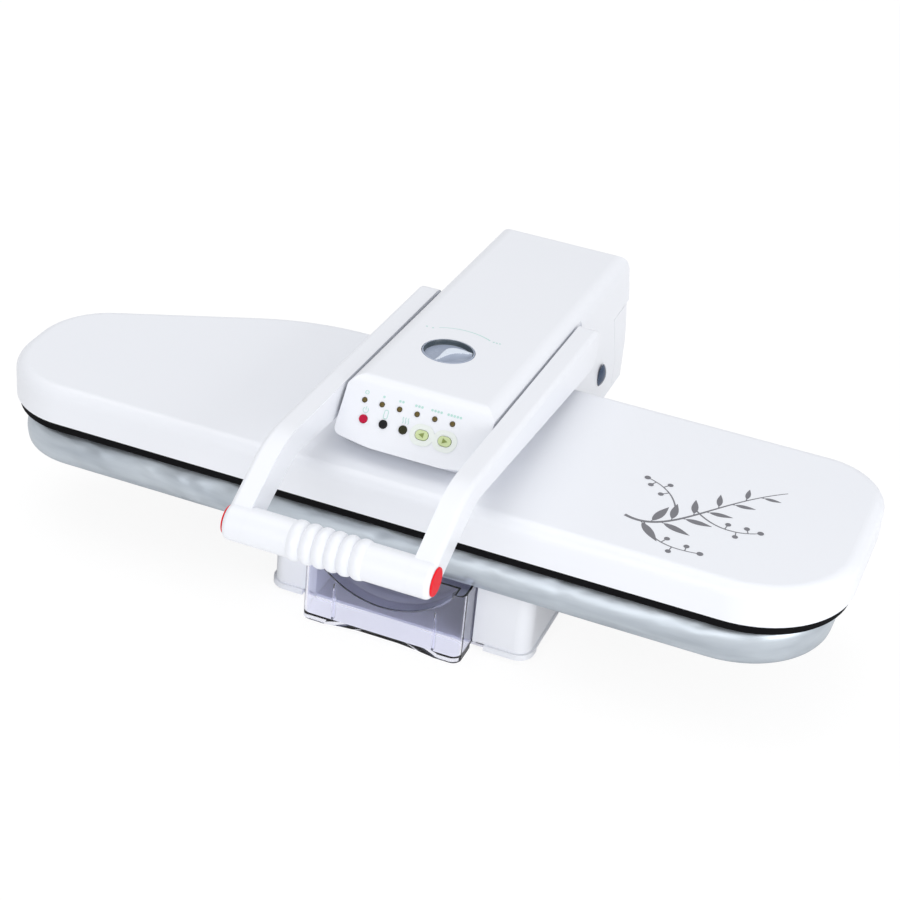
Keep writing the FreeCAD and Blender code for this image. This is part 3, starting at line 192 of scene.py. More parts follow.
def board_edge():
    """Points and inward directions round the board's outline, evenly spaced, in millimetres."""
    path = []
    count = len(board_corners)
    for i in range(count):
        corner = Vector(board_corners[i][:2])
        back = (corner - Vector(board_corners[i - 1][:2])).normalized()
        ahead = (Vector(board_corners[(i + 1) % count][:2]) - corner).normalized()
        radius = board_corners[i][2]
        turn = back.angle(ahead)
        inward = Vector((-back.y, back.x))
        centre = corner - back * radius * math.tan(turn / 2) + inward * radius
        start = math.atan2(-inward.y, -inward.x)
        for k in range(arc_steps + 1):
            angle = start + turn * k / arc_steps
            outward = Vector((math.cos(angle), math.sin(angle)))
            path.append((centre + outward * radius, -outward))
    path.append(path[0])
    reach = [0.0]
    for (a, _), (b, _) in zip(path, path[1:]):
        reach.append(reach[-1] + (b - a).length)
    edge = []
    j = 0
    for i in range(pad_around):
        want = reach[-1] * i / pad_around
        while reach[j + 1] < want:
            j += 1
        share = (want - reach[j]) / max(reach[j + 1] - reach[j], 1e-9)
        point = path[j][0].lerp(path[j + 1][0], share)
        edge.append((point, path[j][1].lerp(path[j + 1][1], share).normalized()))
    return edge


board_rim = board_edge()

# Height and inset of each ring: the pocket over the tray, the free band and the crown.
# The third value says how firmly the band is held while the cloth settles.
pad_pocket = ((90.3, 60.0), (90.3, 30.0), (90.3, 8.7), (86.0, 8.7), (82.6, 8.6), (81.3, 8.1))
pad_band = (
    (81.1, 7.3, 1.0), (82.4, 6.5, 0.5), (85.0, 6.0, 0.0), (88.5, 5.7, 0.0), (92.5, 5.5, 0.0),
    (96.5, 5.5, 0.0), (100.5, 5.6, 0.0), (104.2, 5.9, 0.0), (107.6, 6.6, 0.0), (110.4, 7.9, 0.0),
    (112.6, 9.8, 0.0), (114.3, 12.4, 0.1), (115.4, 16.0, 0.5), (116.1, 21.0, 1.0),
)
pad_crown = ((116.6, 30.0), (117.0, 44.0), (117.1, 60.0))


def ring_places(height, inset):
    """Places of one ring of the skin, in metres."""
    return [Vector((*((p + n * inset) * mm), height * mm)) for p, n in board_rim]


def rings_mesh(name, rings, closed):
    """Skin through rings of places, closed at both ends or left open."""
    mesh = bmesh.new()
    rows = [[mesh.verts.new(place) for place in ring] for ring in rings]
    for low, high in zip(rows, rows[1:]):
        for i in range(pad_around):
            k = (i + 1) % pad_around
            mesh.faces.new((low[i], low[k], high[k], high[i]))
    if closed:
        for row in (rows[0][::-1], rows[-1]):
            for i in range(pad_around // 2 - 1):
                mesh.faces.new((row[i], row[i + 1], row[-2 - i], row[-1 - i]))
    bmesh.ops.recalc_face_normals(mesh, faces=mesh.faces)
    data = bpy.data.meshes.new(name)
    mesh.to_mesh(data)
    mesh.free()
    return data


settle_frames = 20
foam_pressure = 4.0
spare_cloth = 0.0015


def settle_cloth(rings):
    """Let the band swell over its foam and buckle slightly, held at hem and crown."""
    piece = bpy.data.objects.new("pad_settling", rings_mesh("pad_settling", rings, False))
    bpy.context.scene.collection.objects.link(piece)
    held = piece.vertex_groups.new(name="held")
    for row, (_, _, grip) in enumerate(pad_band):
        held.add(list(range(row * pad_around, (row + 1) * pad_around)), grip, "REPLACE")
    cloth = piece.modifiers.new("cloth", "CLOTH")
    cloth.settings.vertex_group_mass = "held"
    cloth.settings.quality = 4
    cloth.settings.mass = 0.2
    cloth.settings.use_pressure = True
    cloth.settings.uniform_pressure_force = foam_pressure
    cloth.settings.shrink_min = -spare_cloth
    cloth.settings.effector_weights.gravity = 0.0
    cloth.collision_settings.use_collision = False
    cloth.point_cache.frame_start = 1
    cloth.point_cache.frame_end = settle_frames
    for step in range(1, settle_frames + 1):
        bpy.context.scene.frame_set(step)
    settled = piece.evaluated_get(bpy.context.evaluated_depsgraph_get())
    places = [v.co.copy() for v in settled.data.vertices]
    bpy.context.scene.frame_set(1)
    bpy.data.objects.remove(piece)
    return places


# Gathers at the hem and creases at the narrow end: rates are waves per metre.
swell_cap = 2.0 * mm
pad_low, pad_high = 81.0 * mm, 117.3 * mm
gather_height = 9.0 * mm
gather_depth = 0.5 * mm
broad_gather, broad_layer = 70, 3.0
fine_gather, fine_layer = 160, 9.0
fine_share = 0.5
crease_start = -80.0 * mm
crease_run = 120.0 * mm
crease_depth = 2.4 * mm
crease_rate, crease_slant, crease_rise = 55, 45, 30
band_rings = [ring_places(height, inset) for height, inset, _ in pad_band]
settled_places = settle_cloth(band_rings)
for row, ring in enumerate(band_rings):
    for i, start in enumerate(ring):
        inward = Vector((*board_rim[i][1], 0))
        swell = settled_places[row * pad_around + i] - start
        if swell.length > swell_cap:
            swell *= swell_cap / swell.length
        place = start + swell
        fade = max(0.0, 1.0 - (place.z - pad_low) / gather_height) if row else 0.0
        broad = Vector((place.x * broad_gather, place.y * broad_gather, broad_layer))
        fine = Vector((place.x * fine_gather, place.y * fine_gather, fine_layer))
        pleat = noise.noise(broad) + fine_share * noise.noise(fine)
        place -= inward * pleat * gather_depth * fade
        slack = min(max((crease_start - place.x) / crease_run, 0.0), 1.0)
        slack *= math.sin(math.pi * row / (len(band_rings) - 1))
        fold = Vector((place.x * crease_rate + place.z * crease_slant,
                       place.y * crease_rate, place.z * crease_rise))
        place -= inward * noise.noise(fold) * crease_depth * slack
        place.z = min(max(place.z, pad_low), pad_high)
        ring[i] = place
pocket_rings = [ring_places(*ring) for ring in pad_pocket]
crown_rings = [ring_places(*ring) for ring in pad_crown]
rough_skin = rings_mesh("pad_rough", pocket_rings + band_rings + crown_rings, True)
pad = bpy.data.objects.new("pad_cover", rough_skin)
bpy.context.scene.collection.objects.link(pad)
finer = pad.modifiers.new("finer", "SUBSURF")
finer.levels = finer.render_levels = 1
smoothed = pad.evaluated_get(bpy.context.evaluated_depsgraph_get())
fine_skin = bpy.data.meshes.new_from_object(smoothed)
pad.modifiers.clear()
pad.data = fine_skin
fine_skin.name = "pad_cover"


def metal_cloth():
    """Silver-coated woven cloth with streaks and faint creases from handling."""
    material = bpy.data.materials.new("metallised_cloth")
    material.use_nodes = True
    tree = material.node_tree
    nodes, links = tree.nodes, tree.links
    shader = nodes["Principled BSDF"]
    shader.inputs["Metallic"].default_value = 0.75
    place = nodes.new("ShaderNodeTexCoord")
    stretch = nodes.new("ShaderNodeMapping")
    stretch.inputs["Scale"].default_value = (4.0, 7.0, 30.0)
    links.new(place.outputs["Object"], stretch.inputs["Vector"])
    streaks = nodes.new("ShaderNodeTexNoise")
    streaks.inputs["Scale"].default_value = 2.0
    streaks.inputs["Detail"].default_value = 4.0
    streaks.inputs["Distortion"].default_value = 0.5
    links.new(stretch.outputs["Vector"], streaks.inputs["Vector"])
    tones = nodes.new("ShaderNodeValToRGB")
    dark, pale = tones.color_ramp.elements
    dark.position, dark.color = 0.30, (0.42, 0.465, 0.515, 1)
    pale.position, pale.color = 0.70, (0.60, 0.65, 0.70, 1)
    links.new(streaks.outputs["Fac"], tones.inputs["Fac"])
    links.new(tones.outputs["Color"], shader.inputs["Base Color"])
    rough = nodes.new("ShaderNodeMapRange")
    rough.inputs["To Min"].default_value = 0.32
    rough.inputs["To Max"].default_value = 0.42
    links.new(streaks.outputs["Fac"], rough.inputs["Value"])
    links.new(rough.outputs["Result"], shader.inputs["Roughness"])
    weave = nodes.new("ShaderNodeMath")
    weave.operation = "MULTIPLY"
    for thread, axis in enumerate(("X", "Z")):
        wave = nodes.new("ShaderNodeTexWave")
        wave.bands_direction = axis
        wave.inputs["Scale"].default_value = 260.0
        wave.inputs["Distortion"].default_value = 0.8
        links.new(place.outputs["Object"], wave.inputs["Vector"])
        links.new(wave.outputs["Fac"], weave.inputs[thread])
    creases = nodes.new("ShaderNodeTexNoise")
    creases.inputs["Scale"].default_value = 28.0
    creases.inputs["Detail"].default_value = 3.0
    creases.inputs["Distortion"].default_value = 1.2
    links.new(place.outputs["Object"], creases.inputs["Vector"])
    folds = nodes.new("ShaderNodeBump")
    folds.inputs["Strength"].default_value = 0.03
    folds.inputs["Distance"].default_value = 0.003
    links.new(creases.outputs["Fac"], folds.inputs["Height"])
    bump = nodes.new("ShaderNodeBump")
    bump.inputs["Strength"].default_value = 0.02
    bump.inputs["Distance"].default_value = 0.0003
    links.new(weave.outputs["Value"], bump.inputs["Height"])
    links.new(folds.outputs["Normal"], bump.inputs["Normal"])
    links.new(bump.outputs["Normal"], shader.inputs["Normal"])
    return material


pad.data.materials.append(metal_cloth())
for face in pad.data.polygons:
    face.use_smooth = True
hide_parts("board_pad")
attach(pad, "base")

# Hot plate and heater
# Cast alloy plate with a dark non-stick face, a bent tube heater and a steam chamber on its
# back, and a sheet shield over them. Only its dark rim shows, as a line between cover and pad.
# The non-stick coating is real, but its near pure black and almost glossless finish also paint
# the shade in the gap between cover and pad.
coating_and_gap_shade = moulded("coated_plate_and_gap_shade", (0.005, 0.005, 0.006), (0.008, 0.008, 0.009),
                 rough=0.55, smudge=0.15, depth=0.1, specular=0.03)
bare_alloy = moulded("bare_alloy", (0.70, 0.71, 0.73), (0.6, 0.61, 0.63),
                     rough=0.35, smudge=0.2, grain=500, depth=0.12, metallic=1.0)
heater_steel = moulded("heater_steel", (0.32, 0.31, 0.30), (0.24, 0.23, 0.22),
                       rough=0.42, smudge=0.2, grain=300, depth=0.1, metallic=1.0)
dress(coating_and_gap_shade, "sole_plate")
dress(heater_steel, "heating_element")
dress(bare_alloy, "heat_shield", "steam_boiler")

# Plate cover
# Long white moulding over the hot plate, with a rolled shoulder and a broad flat top.
# A grey leafy branch is printed near its wide end.
dress(white_gloss, "plate_cover")
cover_top = 166.0
ink_lift = 0.03
ink_thick = 0.1
ink_step = 0.003
leaf_steps = 12
leaf_belly = 0.8


def disc(u, v, radius, steps=20):
    """Round spot as an outline."""
    turns = [2 * math.pi * k / steps for k in range(steps)]
    return [(u + radius * math.cos(a), v + radius * math.sin(a)) for a in turns]


def stroke(points, widths):
    """Outline of a line whose width changes along it."""
    left, right = [], []
    last = len(points) - 1
    for i, point in enumerate(points):
        ahead = Vector(points[min(i + 1, last)]) - Vector(points[max(i - 1, 0)])
        side = Vector((-ahead.y, ahead.x)).normalized()
        share = i / last * (len(widths) - 1)
        k = min(int(share), len(widths) - 2)
        half = (widths[k] + (widths[k + 1] - widths[k]) * (share - k)) / 2
        left.append(tuple(Vector(point) + side * half))
        right.append(tuple(Vector(point) - side * half))
    return right + left[::-1]


def bend(start, first, second, end, steps=24):
    """Points along a cubic curve."""
    points = []
    for i in range(steps + 1):
        t = i / steps
        s = 1 - t
        points.append(tuple(Vector(start) * s ** 3 + Vector(first) * 3 * s * s * t
                            + Vector(second) * 3 * s * t * t + Vector(end) * t ** 3))
    return points


def turn_of(u, v, radius, start, end, steps=24):
    """Points along an arc, angles in degrees."""
    angles = [math.radians(start + (end - start) * k / steps) for k in range(steps + 1)]
    return [(u + radius * math.cos(a), v + radius * math.sin(a)) for a in angles]


def leaf(u, v, angle, length, width):
    """Almond leaf with a pointed tip."""
    along = Vector((math.cos(angle), math.sin(angle)))
    side = Vector((-along.y, along.x))
    root = Vector((u, v))
    shares = [k / leaf_steps for k in range(leaf_steps + 1)]
    edge = [(t, math.sin(math.pi * t ** leaf_belly) * width / 2) for t in shares]
    right = [tuple(root + along * t * length - side * w) for t, w in edge]
    left = [tuple(root + along * t * length + side * w) for t, w in edge[1:-1]]
    return right + left[::-1]


def printed(name, shapes, origin, right, up, material, body):
    """Thin layer of ink on a flat face: outlines in millimetres, right and up on that face."""
    origin, right, up = Vector(origin), Vector(right), Vector(up)
    out = right.cross(up)
    mesh = bmesh.new()
    for order, shape in enumerate(shapes):
        low, high = [], []
        for u, v in shape:
            place = origin + right * u + up * v + out * (ink_lift + order * ink_step)
            low.append(mesh.verts.new(place * mm))
            high.append(mesh.verts.new((place + out * ink_thick) * mm))
        count = len(shape)
        if count <= 4:
            mesh.faces.new(high)
            mesh.faces.new(low[::-1])
        else:
            for i in range(count // 2 - 1):
                k = count - 1 - i
                mesh.faces.new((high[i], high[i + 1], high[k - 1], high[k]))
                mesh.faces.new((low[k], low[k - 1], low[i + 1], low[i]))
        for i in range(count):
            k = (i + 1) % count
            mesh.faces.new((low[i], low[k], high[k], high[i]))
    bmesh.ops.recalc_face_normals(mesh, faces=mesh.faces)
    data = bpy.data.meshes.new(name)
    mesh.to_mesh(data)
    mesh.free()
    data.materials.append(material)
    piece = bpy.data.objects.new(name, data)
    bpy.context.scene.collection.objects.link(piece)
    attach(piece, body)


leaf_count = 11
first_leaf, leaf_gap = 5, 3
leaf_lean = 54
leaf_length, leaf_taper, leaf_slim = 31, 1.5, 0.27
stalk = 3.0
berry_radius, end_berry = 2.7, 3.0
berry_stalks = ((12, 8.5), (16, -8.0), (20, 7.5))
twigs = (
    ((224, -101), (236, -128), (256, -134), (284, -128)),
    ((262, -62), (282, -82), (304, -84), (324, -70)),
    ((247, -78), (240, -50), (226, -36), (206, -30)),
)
branch_stem = bend((206, -100), (250, -118), (270, -40), (330, 8), 40)
branch = [stroke(branch_stem, (3.4, 2.6, 1.6, 0.8))]
for i in range(leaf_count):
    k = first_leaf + i * leaf_gap
    base_u, base_v = branch_stem[k]
    ahead = Vector(branch_stem[k + 1]) - Vector(branch_stem[k - 1])
    side = 1 if i % 2 else -1
    angle = math.atan2(ahead.y, ahead.x) + side * math.radians(leaf_lean - i)
    length = leaf_length - i * leaf_taper
    leaf_u = base_u + stalk * math.cos(angle)
    leaf_v = base_v + stalk * math.sin(angle)
    branch.append(stroke([(base_u, base_v), (leaf_u, leaf_v)], (1.3, 1.0)))
    branch.append(leaf(leaf_u, leaf_v, angle, length, length * leaf_slim))
for start, first, second, end in twigs:
    twig = bend(start, first, second, end)
    branch.append(stroke(twig, (1.6, 0.8)))
    for k, reach in berry_stalks:
        along = Vector(twig[k + 1]) - Vector(twig[k - 1])
        side = Vector((-along.y, along.x)).normalized() * reach
        berry = Vector(twig[k]) + side
        branch.append(stroke([twig[k], tuple(berry)], (0.9, 0.9)))
        branch.append(disc(*berry, berry_radius))
    branch.append(disc(*end, end_berry))
branch_ink = moulded("branch_ink", (0.155, 0.155, 0.175), (0.19, 0.19, 0.21),
                     rough=0.45, smudge=0.1, grain=600)
printed("printed_branch", branch, (0, 0, cover_top), (1, 0, 0), (0, 1, 0),
        branch_ink, "head")

# Head frame
# Folded zinc-plated steel, screwed together, from the plate's posts back to the hinge.
# Its plain bearings, the steam pipe and the steam valve are of turned brass.
brass = moulded("turned_brass", (0.72, 0.55, 0.25), (0.6, 0.44, 0.2),
                rough=0.3, smudge=0.15, grain=600, depth=0.06, metallic=1.0)
dress(zinc, "head_chassis", "chassis_screws")
dress(brass, "hinge_bushes", "shaft_bushes", "steam_pipe", "knob_valve")

# Hood and back cover
# White gloss mouldings that enclose the frame and lift with it.
# Slate-blue glossy caps close the two ends of the hinge.
slate_cap = moulded("slate_cap", (0.03, 0.05, 0.10), (0.05, 0.08, 0.14),
                    rough=0.14, smudge=0.05, depth=0.006)
dress(white_gloss, "head_housing", "rear_cover")
dress(slate_cap, "pivot_caps")

# Control panel
# Amber lenses and coloured plastic keys stand through the sloped face, on a green circuit
# board. A soft pale trim rings the two arrow keys.
# Pale teal dots and signs are printed beside them.
panel_at = (3.0, -132.45, 180.4)
panel_right = (1, 0, 0)
panel_up = (0, 0.608163, 0.793812)
key_proud = 1.6
board_green = moulded("board_green", (0.02, 0.12, 0.05), (0.03, 0.15, 0.07), rough=0.4)
key_red = moulded("key_red", (0.50, 0.012, 0.05), (0.45, 0.01, 0.045),
                  rough=0.16, smudge=0.05, specular=0.15)
key_black = moulded("key_black", (0.012, 0.012, 0.013), (0.016, 0.016, 0.018),
                    rough=0.16, smudge=0.05, specular=0.15)
key_olive = moulded("key_olive", (0.028, 0.03, 0.014), (0.035, 0.036, 0.018),
                    rough=0.18, smudge=0.05, specular=0.15)
key_green = moulded("key_green", (0.56, 0.66, 0.34), (0.60, 0.69, 0.38),
                    rough=0.25, smudge=0.05)
trim_soft = moulded("trim_soft", (0.78, 0.82, 0.79), (0.76, 0.80, 0.77), rough=0.38)


def lamp_lens():
    """Unlit amber lens with painted shade: dark at its edge, lighter where it faces the eye."""
    material = moulded("lens_amber", (0.14, 0.10, 0.03), (0.11, 0.08, 0.022),
                       rough=0.08, smudge=0.04, depth=0.005, specular=0.3)
    tree = material.node_tree
    shader = tree.nodes["Principled BSDF"]
    skin = shader.inputs["Base Color"].links[0].from_socket
    # Painted shade: the lens colour darkens towards its edge as the surface turns from the eye.
    painted_edge_shade = tree.nodes.new("ShaderNodeLayerWeight")
    painted_edge_shade.inputs["Blend"].default_value = 0.6
    tone = tree.nodes.new("ShaderNodeMix")
    tone.data_type = "RGBA"
    tone.inputs["B"].default_value = (0.018, 0.013, 0.004, 1)
    tree.links.new(painted_edge_shade.outputs["Facing"], tone.inputs["Factor"])
    tree.links.new(skin, tone.inputs["A"])
    tree.links.new(tone.outputs["Result"], shader.inputs["Base Color"])
    return material


dress(board_green, "control_board")
dress(lamp_lens(), "led_lenses")
dress(key_red, "power_button")
dress(key_black, "tone_button")
dress(key_olive, "steam_button")
dress(key_green, "down_button", "up_button")
dress(trim_soft, "button_bezel")
teal_ink = moulded("teal_ink", (0.44, 0.68, 0.63), (0.50, 0.72, 0.67),
                   rough=0.4, smudge=0.08, grain=600, depth=0.02)
arrow_ink = moulded("arrow_ink", (0.20, 0.26, 0.06), (0.24, 0.30, 0.08),
                    rough=0.4, smudge=0.08, grain=600, depth=0.02)
sign_line = (0.7, 0.7)
ring_line = (0.8, 0.8)

# One row over the lamps: a split ring, then one to five dots.
lamp_row = 49
lamp_ring = (-51.3, lamp_row)
ring_radius = 1.6
dot_middles = (-34.35, -17.05, 0.25, 17.55, 34.85)
dot_gap, dot_radius = 3.0, 1.2
panel_marks = [stroke(turn_of(*lamp_ring, ring_radius, start, start + 160), ring_line)
               for start in (100, 280)]
for count, middle in enumerate(dot_middles, start=1):
    for k in range(count):
        offset = (k - (count - 1) / 2) * dot_gap
        panel_marks.append(disc(middle + offset, lamp_row, dot_radius))

# One sign over each round key: an open ring with a bar, a tall pill and three plumes.
power_u, power_v, power_radius = -47.8, 33.0, 2.6
power_bar = (33.2, 36.4)
panel_marks.append(stroke(turn_of(power_u, power_v, power_radius, 125, 415), sign_line))
panel_marks.append(stroke([(power_u, v) for v in power_bar], sign_line))
pill_u, pill_half, pill_low, pill_high = -28, 1.9, 31.6, 36.0
pill_top = turn_of(pill_u, pill_high, pill_half, 0, 180)
pill_foot = turn_of(pill_u, pill_low, pill_half, 180, 360)
panel_marks.append(stroke([(pill_u + pill_half, pill_low)] + pill_top, sign_line))
panel_marks.append(stroke([(pill_u - pill_half, pill_high)] + pill_foot, sign_line))
plume_middle, plume_gap, plume_sway = -8.2, 2.6, 1.6
for k in (-1, 0, 1):
    u = plume_middle + k * plume_gap
    plume = bend((u, 30.4), (u + plume_sway, 32.0), (u - plume_sway, 34.0), (u, 36.0))
    panel_marks.append(stroke(plume, sign_line))
printed("panel_marks", panel_marks, panel_at, panel_right, panel_up, teal_ink,
        "head")

# One arrow on top of each oval key.
arrow_row = 24.5
arrow_tip, arrow_tail, arrow_half = 3.0, 2.0, 2.5
key_top = Vector(panel_at) + Vector(panel_right).cross(Vector(panel_up)) * key_proud
for name, middle, side in (("down", 10.4, -1), ("up", 32.7, 1)):
    arrow = [
        (middle + side * arrow_tip, arrow_row),
        (middle - side * arrow_tail, arrow_row + side * arrow_half),
        (middle - side * arrow_tail, arrow_row - side * arrow_half),
    ]
    printed(name + "_arrow", [arrow], key_top, panel_right, panel_up, arrow_ink,
            name + "_button_body")

# Steam dial
# Dished slate-blue dial, moulded in one piece with a curved blade that turns it.
# It is set in the roof, and a thin arc with a small sign at each end is printed behind it.
dial_at = (-8.3, -4.25, 226.09)
roof_tilt = math.radians(2.484)
roof_right = (1, 0, 0)
roof_up = (0, math.cos(roof_tilt), -math.sin(roof_tilt))
dial_radius = 25.1
dial_wall = 22.8
dial_depth = 4.8
dial_base = -7.4
dial_around = 120
floor_rings = 34
rim_radii = (23.1, 23.4, 23.7, 24.0, 24.4, 24.8)
rim_top, rim_slope = 0.25, 1.2
edge_drop, edge_round = 0.5, 0.8
shaded_wall_end = 24.0
blade_start = Vector((-6.4, -23.2))
blade_end = Vector((21.8, 9.6))
blade_top = -0.5
blade_back = 1.8
blade_front = 9.0
back_bow, back_skew = 16.6, 1.5
front_bow, front_skew, front_taper = 6.1, 1.2, 1.5
highlight_back, highlight_front = 0.4, 0.1


def eased(share):
    """Smooth step from 0 to 1."""
    share = min(max(share, 0.0), 1.0)
    return share * share * (3 - 2 * share)


def on_blade(x, y):
    """How far a place lies behind the blade's back edge and before its front edge."""
    along = (blade_end - blade_start).normalized()
    reach = Vector((x, y)) - blade_start
    share = min(max(reach.dot(along) / (blade_end - blade_start).length, 0.0), 1.0)
    off = reach.dot(Vector((-along.y, along.x)))
    back = back_bow * math.sin(math.pi * share ** back_skew)
    front = front_bow * math.sin(math.pi * share ** front_skew) ** front_taper
    return off - back, front - off


def dial_height(radius, x, y):
    """Height of the dial's face above the roof at one place."""
    behind, before = on_blade(x, y)
    drop = max(eased(behind / blade_back), eased(before / blade_front))
    face = blade_top + (-dial_depth - blade_top) * drop
    rise = eased((radius - dial_wall) / rim_slope)
    fall = eased((radius - dial_radius + edge_round) / edge_round)
    return face + (rim_top - face) * rise - edge_drop * fall


def dial_mesh():
    """Dished dial with its blade, closed below."""
    mesh = bmesh.new()
    radii = [dial_wall * k / floor_rings for k in range(1, floor_rings + 1)]
    rows = []
    for radius in (*radii, *rim_radii, dial_radius):
        row = []
        for k in range(dial_around):
            x = radius * math.cos(2 * math.pi * k / dial_around)
            y = radius * math.sin(2 * math.pi * k / dial_around)
            row.append(mesh.verts.new((x, y, dial_height(radius, x, y))))
        rows.append(row)
    rows.append([mesh.verts.new((v.co.x, v.co.y, dial_base)) for v in rows[-1]])
    for low, high in zip(rows, rows[1:]):
        for k in range(dial_around):
            n = (k + 1) % dial_around
            mesh.faces.new((low[k], high[k], high[n], low[n]))
    middle = mesh.verts.new((0, 0, dial_height(0, 0, 0)))
    for k in range(dial_around):
        mesh.faces.new((middle, rows[0][k], rows[0][(k + 1) % dial_around]))
    mesh.faces.new(rows[-1][::-1])
    # Painted shade darkens the inner wall below the rim, and a painted highlight lightens the
    # blade's top; all else keeps the dial's own slate blue.
    for face in mesh.faces:
        centre = face.calc_center_median()
        behind, before = on_blade(centre.x, centre.y)
        radius = centre.xy.length
        face.smooth = True
        if radius > dial_wall:
            face.material_index = 1 if radius < shaded_wall_end else 0
        elif behind < blade_back * highlight_back and before < blade_front * highlight_front:
            face.material_index = 2
    right, up = Vector(roof_right), Vector(roof_up)
    turn = Matrix((right, up, right.cross(up))).transposed().to_4x4()
    turn.translation = Vector(dial_at)
    mesh.transform(Matrix.Scale(mm, 4) @ turn)
    bmesh.ops.recalc_face_normals(mesh, faces=mesh.faces)
    data = bpy.data.meshes.new("dial_face")
    mesh.to_mesh(data)
    mesh.free()
    return data


dial = bpy.data.objects.new("dial_face", dial_mesh())
bpy.context.scene.collection.objects.link(dial)
# The dial's own slate blue, then painted shade for its inner wall, then a painted highlight for
# its blade's top.
for name, colour, shade in (
    ("dial_blue", (0.33, 0.38, 0.49), (0.37, 0.42, 0.53)),
    ("dial_painted_shade", (0.05, 0.07, 0.085), (0.07, 0.09, 0.11)),
    ("dial_painted_highlight", (0.68, 0.74, 0.84), (0.72, 0.78, 0.88)),
):
    finish = moulded(name, colour, shade, rough=0.25, smudge=0.05, depth=0.006)
    dial.data.materials.append(finish)
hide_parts("steam_knob")
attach(dial, "knob")
scale_radius = 50
low_end, high_end = (-34.5, 38.5), (33.6, 41.5)
spot_gap, spot_radius = 3.2, 1.0
dial_marks = [stroke(turn_of(0, 0, scale_radius, 122, 58, 40), (0.5, 0.9, 1.2))]
for (u, v), spots in ((low_end, (-1, 1)), (high_end, (-1, 0, 1))):
    dial_marks += [disc(u + k * spot_gap, v, spot_radius) for k in spots]
printed("dial_marks", dial_marks, dial_at, roof_right, roof_up, teal_ink, "head")

# Handle
# Two white moulded arms on a steel cross shaft, joined by a white grip with raised ribs.
# A steel rod runs through grip and arms, and a red plastic cap closes each end.
cap_red = moulded("cap_red", (0.80, 0.008, 0.02), (0.74, 0.007, 0.018),
                  rough=0.4, smudge=0.05, depth=0.01, specular=0.2)
dress(white_gloss, "handle_arm_left", "handle_arm_right", "handle_bar")
dress(zinc, "handle_rod", "handle_shaft")
dress(cap_red, "end_cap_left", "end_cap_right")

# Water tank
# Clear moulding with a violet-blue tint that slides into the front of the base.
# Its valve and seal sit at the back, against the coupling.


def clear_tank():
    """Clear tinted plastic that lets lamp light through."""
    material = moulded("tank_clear", (0.925, 0.93, 1.0), (0.89, 0.90, 0.995),
                       rough=0.03, smudge=0.04, depth=0.005)
    tree = material.node_tree
    shader = tree.nodes["Principled BSDF"]
    shader.inputs["Transmission Weight"].default_value = 1.0
    shader.inputs["IOR"].default_value = 1.45
    rays = tree.nodes.new("ShaderNodeLightPath")
    through = tree.nodes.new("ShaderNodeBsdfTransparent")
    through.inputs["Color"].default_value = (0.955, 0.96, 1.0, 1)
    choose = tree.nodes.new("ShaderNodeMixShader")
    tree.links.new(rays.outputs["Is Shadow Ray"], choose.inputs["Fac"])
    tree.links.new(shader.outputs["BSDF"], choose.inputs[1])
    tree.links.new(through.outputs["BSDF"], choose.inputs[2])
    tree.links.new(choose.outputs["Shader"], tree.nodes["Material Output"].inputs["Surface"])
    return material


tank_plastic = clear_tank()
dress(tank_plastic, "water_tank")
rib_tops = ((-40.0, 50.0), (61.5, 52.0))
rib_front = -170.25
rib_depth = 6.0
rib_foot = 9.5
rib_half = 1.1
rib_steps = 12
rib_taper, rib_draft = 0.3, 0.7
rib_least = 0.02


def rib_mesh():
    """Upright moulded fins behind the tank's front wall, slimmer and rounded towards the top."""
    mesh = bmesh.new()
    for x, top in rib_tops:
        rows = []
        for k in range(rib_steps + 1):
            share = k / rib_steps
            half = rib_half * (1 - rib_taper * share)
            back = rib_front + rib_depth * math.sqrt(max(1 - share ** 4, rib_least))
            z = rib_foot + (top - rib_foot) * share
            corners = ((x - half, rib_front), (x + half, rib_front),
                       (x + half * rib_draft, back), (x - half * rib_draft, back))
            rows.append([mesh.verts.new((a * mm, b * mm, z * mm)) for a, b in corners])
        for low, high in zip(rows, rows[1:]):
            for k in range(4):
                n = (k + 1) % 4
                mesh.faces.new((low[k], low[n], high[n], high[k]))
        mesh.faces.new(rows[0][::-1])
        mesh.faces.new(rows[-1])
    bmesh.ops.recalc_face_normals(mesh, faces=mesh.faces)
    data = bpy.data.meshes.new("tank_ribs")
    mesh.to_mesh(data)
    mesh.free()
    return data


ribs = bpy.data.objects.new("tank_ribs", rib_mesh())
bpy.context.scene.collection.objects.link(ribs)
ribs.data.materials.append(tank_plastic)
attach(ribs, "tank")
dress(floor_grey, "tank_valve")
dress(foot_rubber, "tank_seal")

# Floor, light and camera
# White paper under three soft studio lamps and a pale sky.
# The camera stands at the photograph's place.


def seen_directly(nodes, links):
    """One where the camera sees a surface straight or through clear plastic, else nought."""
    ray = nodes.new("ShaderNodeLightPath")
    seen = nodes.new("ShaderNodeMath")
    seen.operation = "MAXIMUM"
    links.new(ray.outputs["Is Camera Ray"], seen.inputs[0])
    links.new(ray.outputs["Is Transmission Ray"], seen.inputs[1])
    return seen.outputs["Value"]


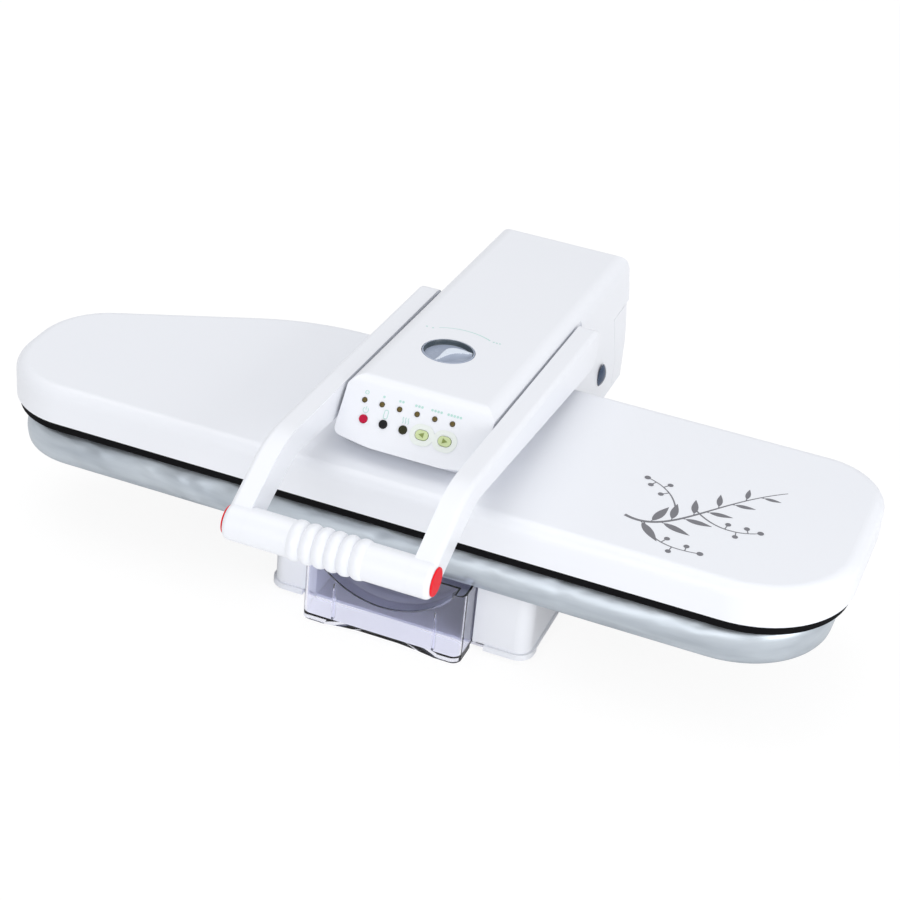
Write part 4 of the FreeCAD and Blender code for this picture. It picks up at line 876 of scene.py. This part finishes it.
def floor_paper():
    """Pale paper that stays near white to the camera and keeps the shadow."""
    material = bpy.data.materials.new("floor_paper")
    material.use_nodes = True
    nodes, links = material.node_tree.nodes, material.node_tree.links
    matt = nodes["Principled BSDF"]
    matt.inputs["Base Color"].default_value = (0.9, 0.9, 0.9, 1)
    matt.inputs["Roughness"].default_value = 0.9
    glow = nodes.new("ShaderNodeEmission")
    glow.inputs["Strength"].default_value = 1.06
    share = nodes.new("ShaderNodeMath")
    share.operation = "MULTIPLY"
    share.inputs[1].default_value = 0.84
    links.new(seen_directly(nodes, links), share.inputs[0])
    mix = nodes.new("ShaderNodeMixShader")
    links.new(share.outputs["Value"], mix.inputs["Fac"])
    links.new(matt.outputs["BSDF"], mix.inputs[1])
    links.new(glow.outputs["Emission"], mix.inputs[2])
    links.new(mix.outputs["Shader"], nodes["Material Output"].inputs["Surface"])
    return material


floor_half = 12.0
floor_corners = [(x * floor_half, y * floor_half, 0)
                 for x, y in ((-1, -1), (1, -1), (1, 1), (-1, 1))]
floor_mesh = bpy.data.meshes.new("floor")
floor_mesh.from_pydata(floor_corners, [], [(0, 1, 2, 3)])
floor = bpy.data.objects.new("floor", floor_mesh)
floor_mesh.materials.append(floor_paper())
bpy.context.scene.collection.objects.link(floor)

world = bpy.data.worlds.new("studio")
bpy.context.scene.world = world
world.use_nodes = True
sky_nodes, sky_links = world.node_tree.nodes, world.node_tree.links
sky = sky_nodes["Background"]
sky.inputs["Color"].default_value = (0.985, 0.99, 1.0, 1)
level = sky_nodes.new("ShaderNodeMapRange")
level.inputs["To Min"].default_value = 0.62
level.inputs["To Max"].default_value = 1.0
sky_links.new(seen_directly(sky_nodes, sky_links), level.inputs["Value"])
sky_links.new(level.outputs["Result"], sky.inputs["Strength"])

lamp_aim = Vector((0, 0, 0.1))


def softbox(name, spot, width, height, power):
    """Rectangular studio lamp, turned towards the object."""
    lamp = bpy.data.lights.new(name, "AREA")
    lamp.shape = "RECTANGLE"
    lamp.size = width
    lamp.size_y = height
    lamp.energy = power
    holder = bpy.data.objects.new(name, lamp)
    holder.location = spot
    holder.rotation_euler = (lamp_aim - Vector(spot)).to_track_quat("-Z", "Y").to_euler()
    bpy.context.scene.collection.objects.link(holder)


softbox("front_box", (0.3, -2.6, 0.9), width=2.6, height=1.6, power=20)
softbox("right_box", (2.6, -0.9, 0.9), width=2.0, height=1.6, power=30)
softbox("top_box", (-0.6, 0.4, 2.6), width=2.4, height=2.4, power=25)

camera = bpy.data.objects.new("camera", bpy.data.cameras.new("camera"))
bpy.context.scene.collection.objects.link(camera)
camera.data.sensor_width = 36.0
camera.data.lens = 83.65
camera_right = Vector((0.92543, 0.36933, 0.08471))
camera_up = Vector((-0.26122, 0.45988, 0.84870))
camera_back = Vector((0.27449, -0.80754, 0.52205))
pose = Matrix((camera_right, camera_up, camera_back)).transposed().to_4x4()
pose.translation = Vector((0.5597, -1.64195, 1.1783))
camera.matrix_world = pose
bpy.context.scene.camera = camera
bpy.context.scene.view_settings.view_transform = "Standard"
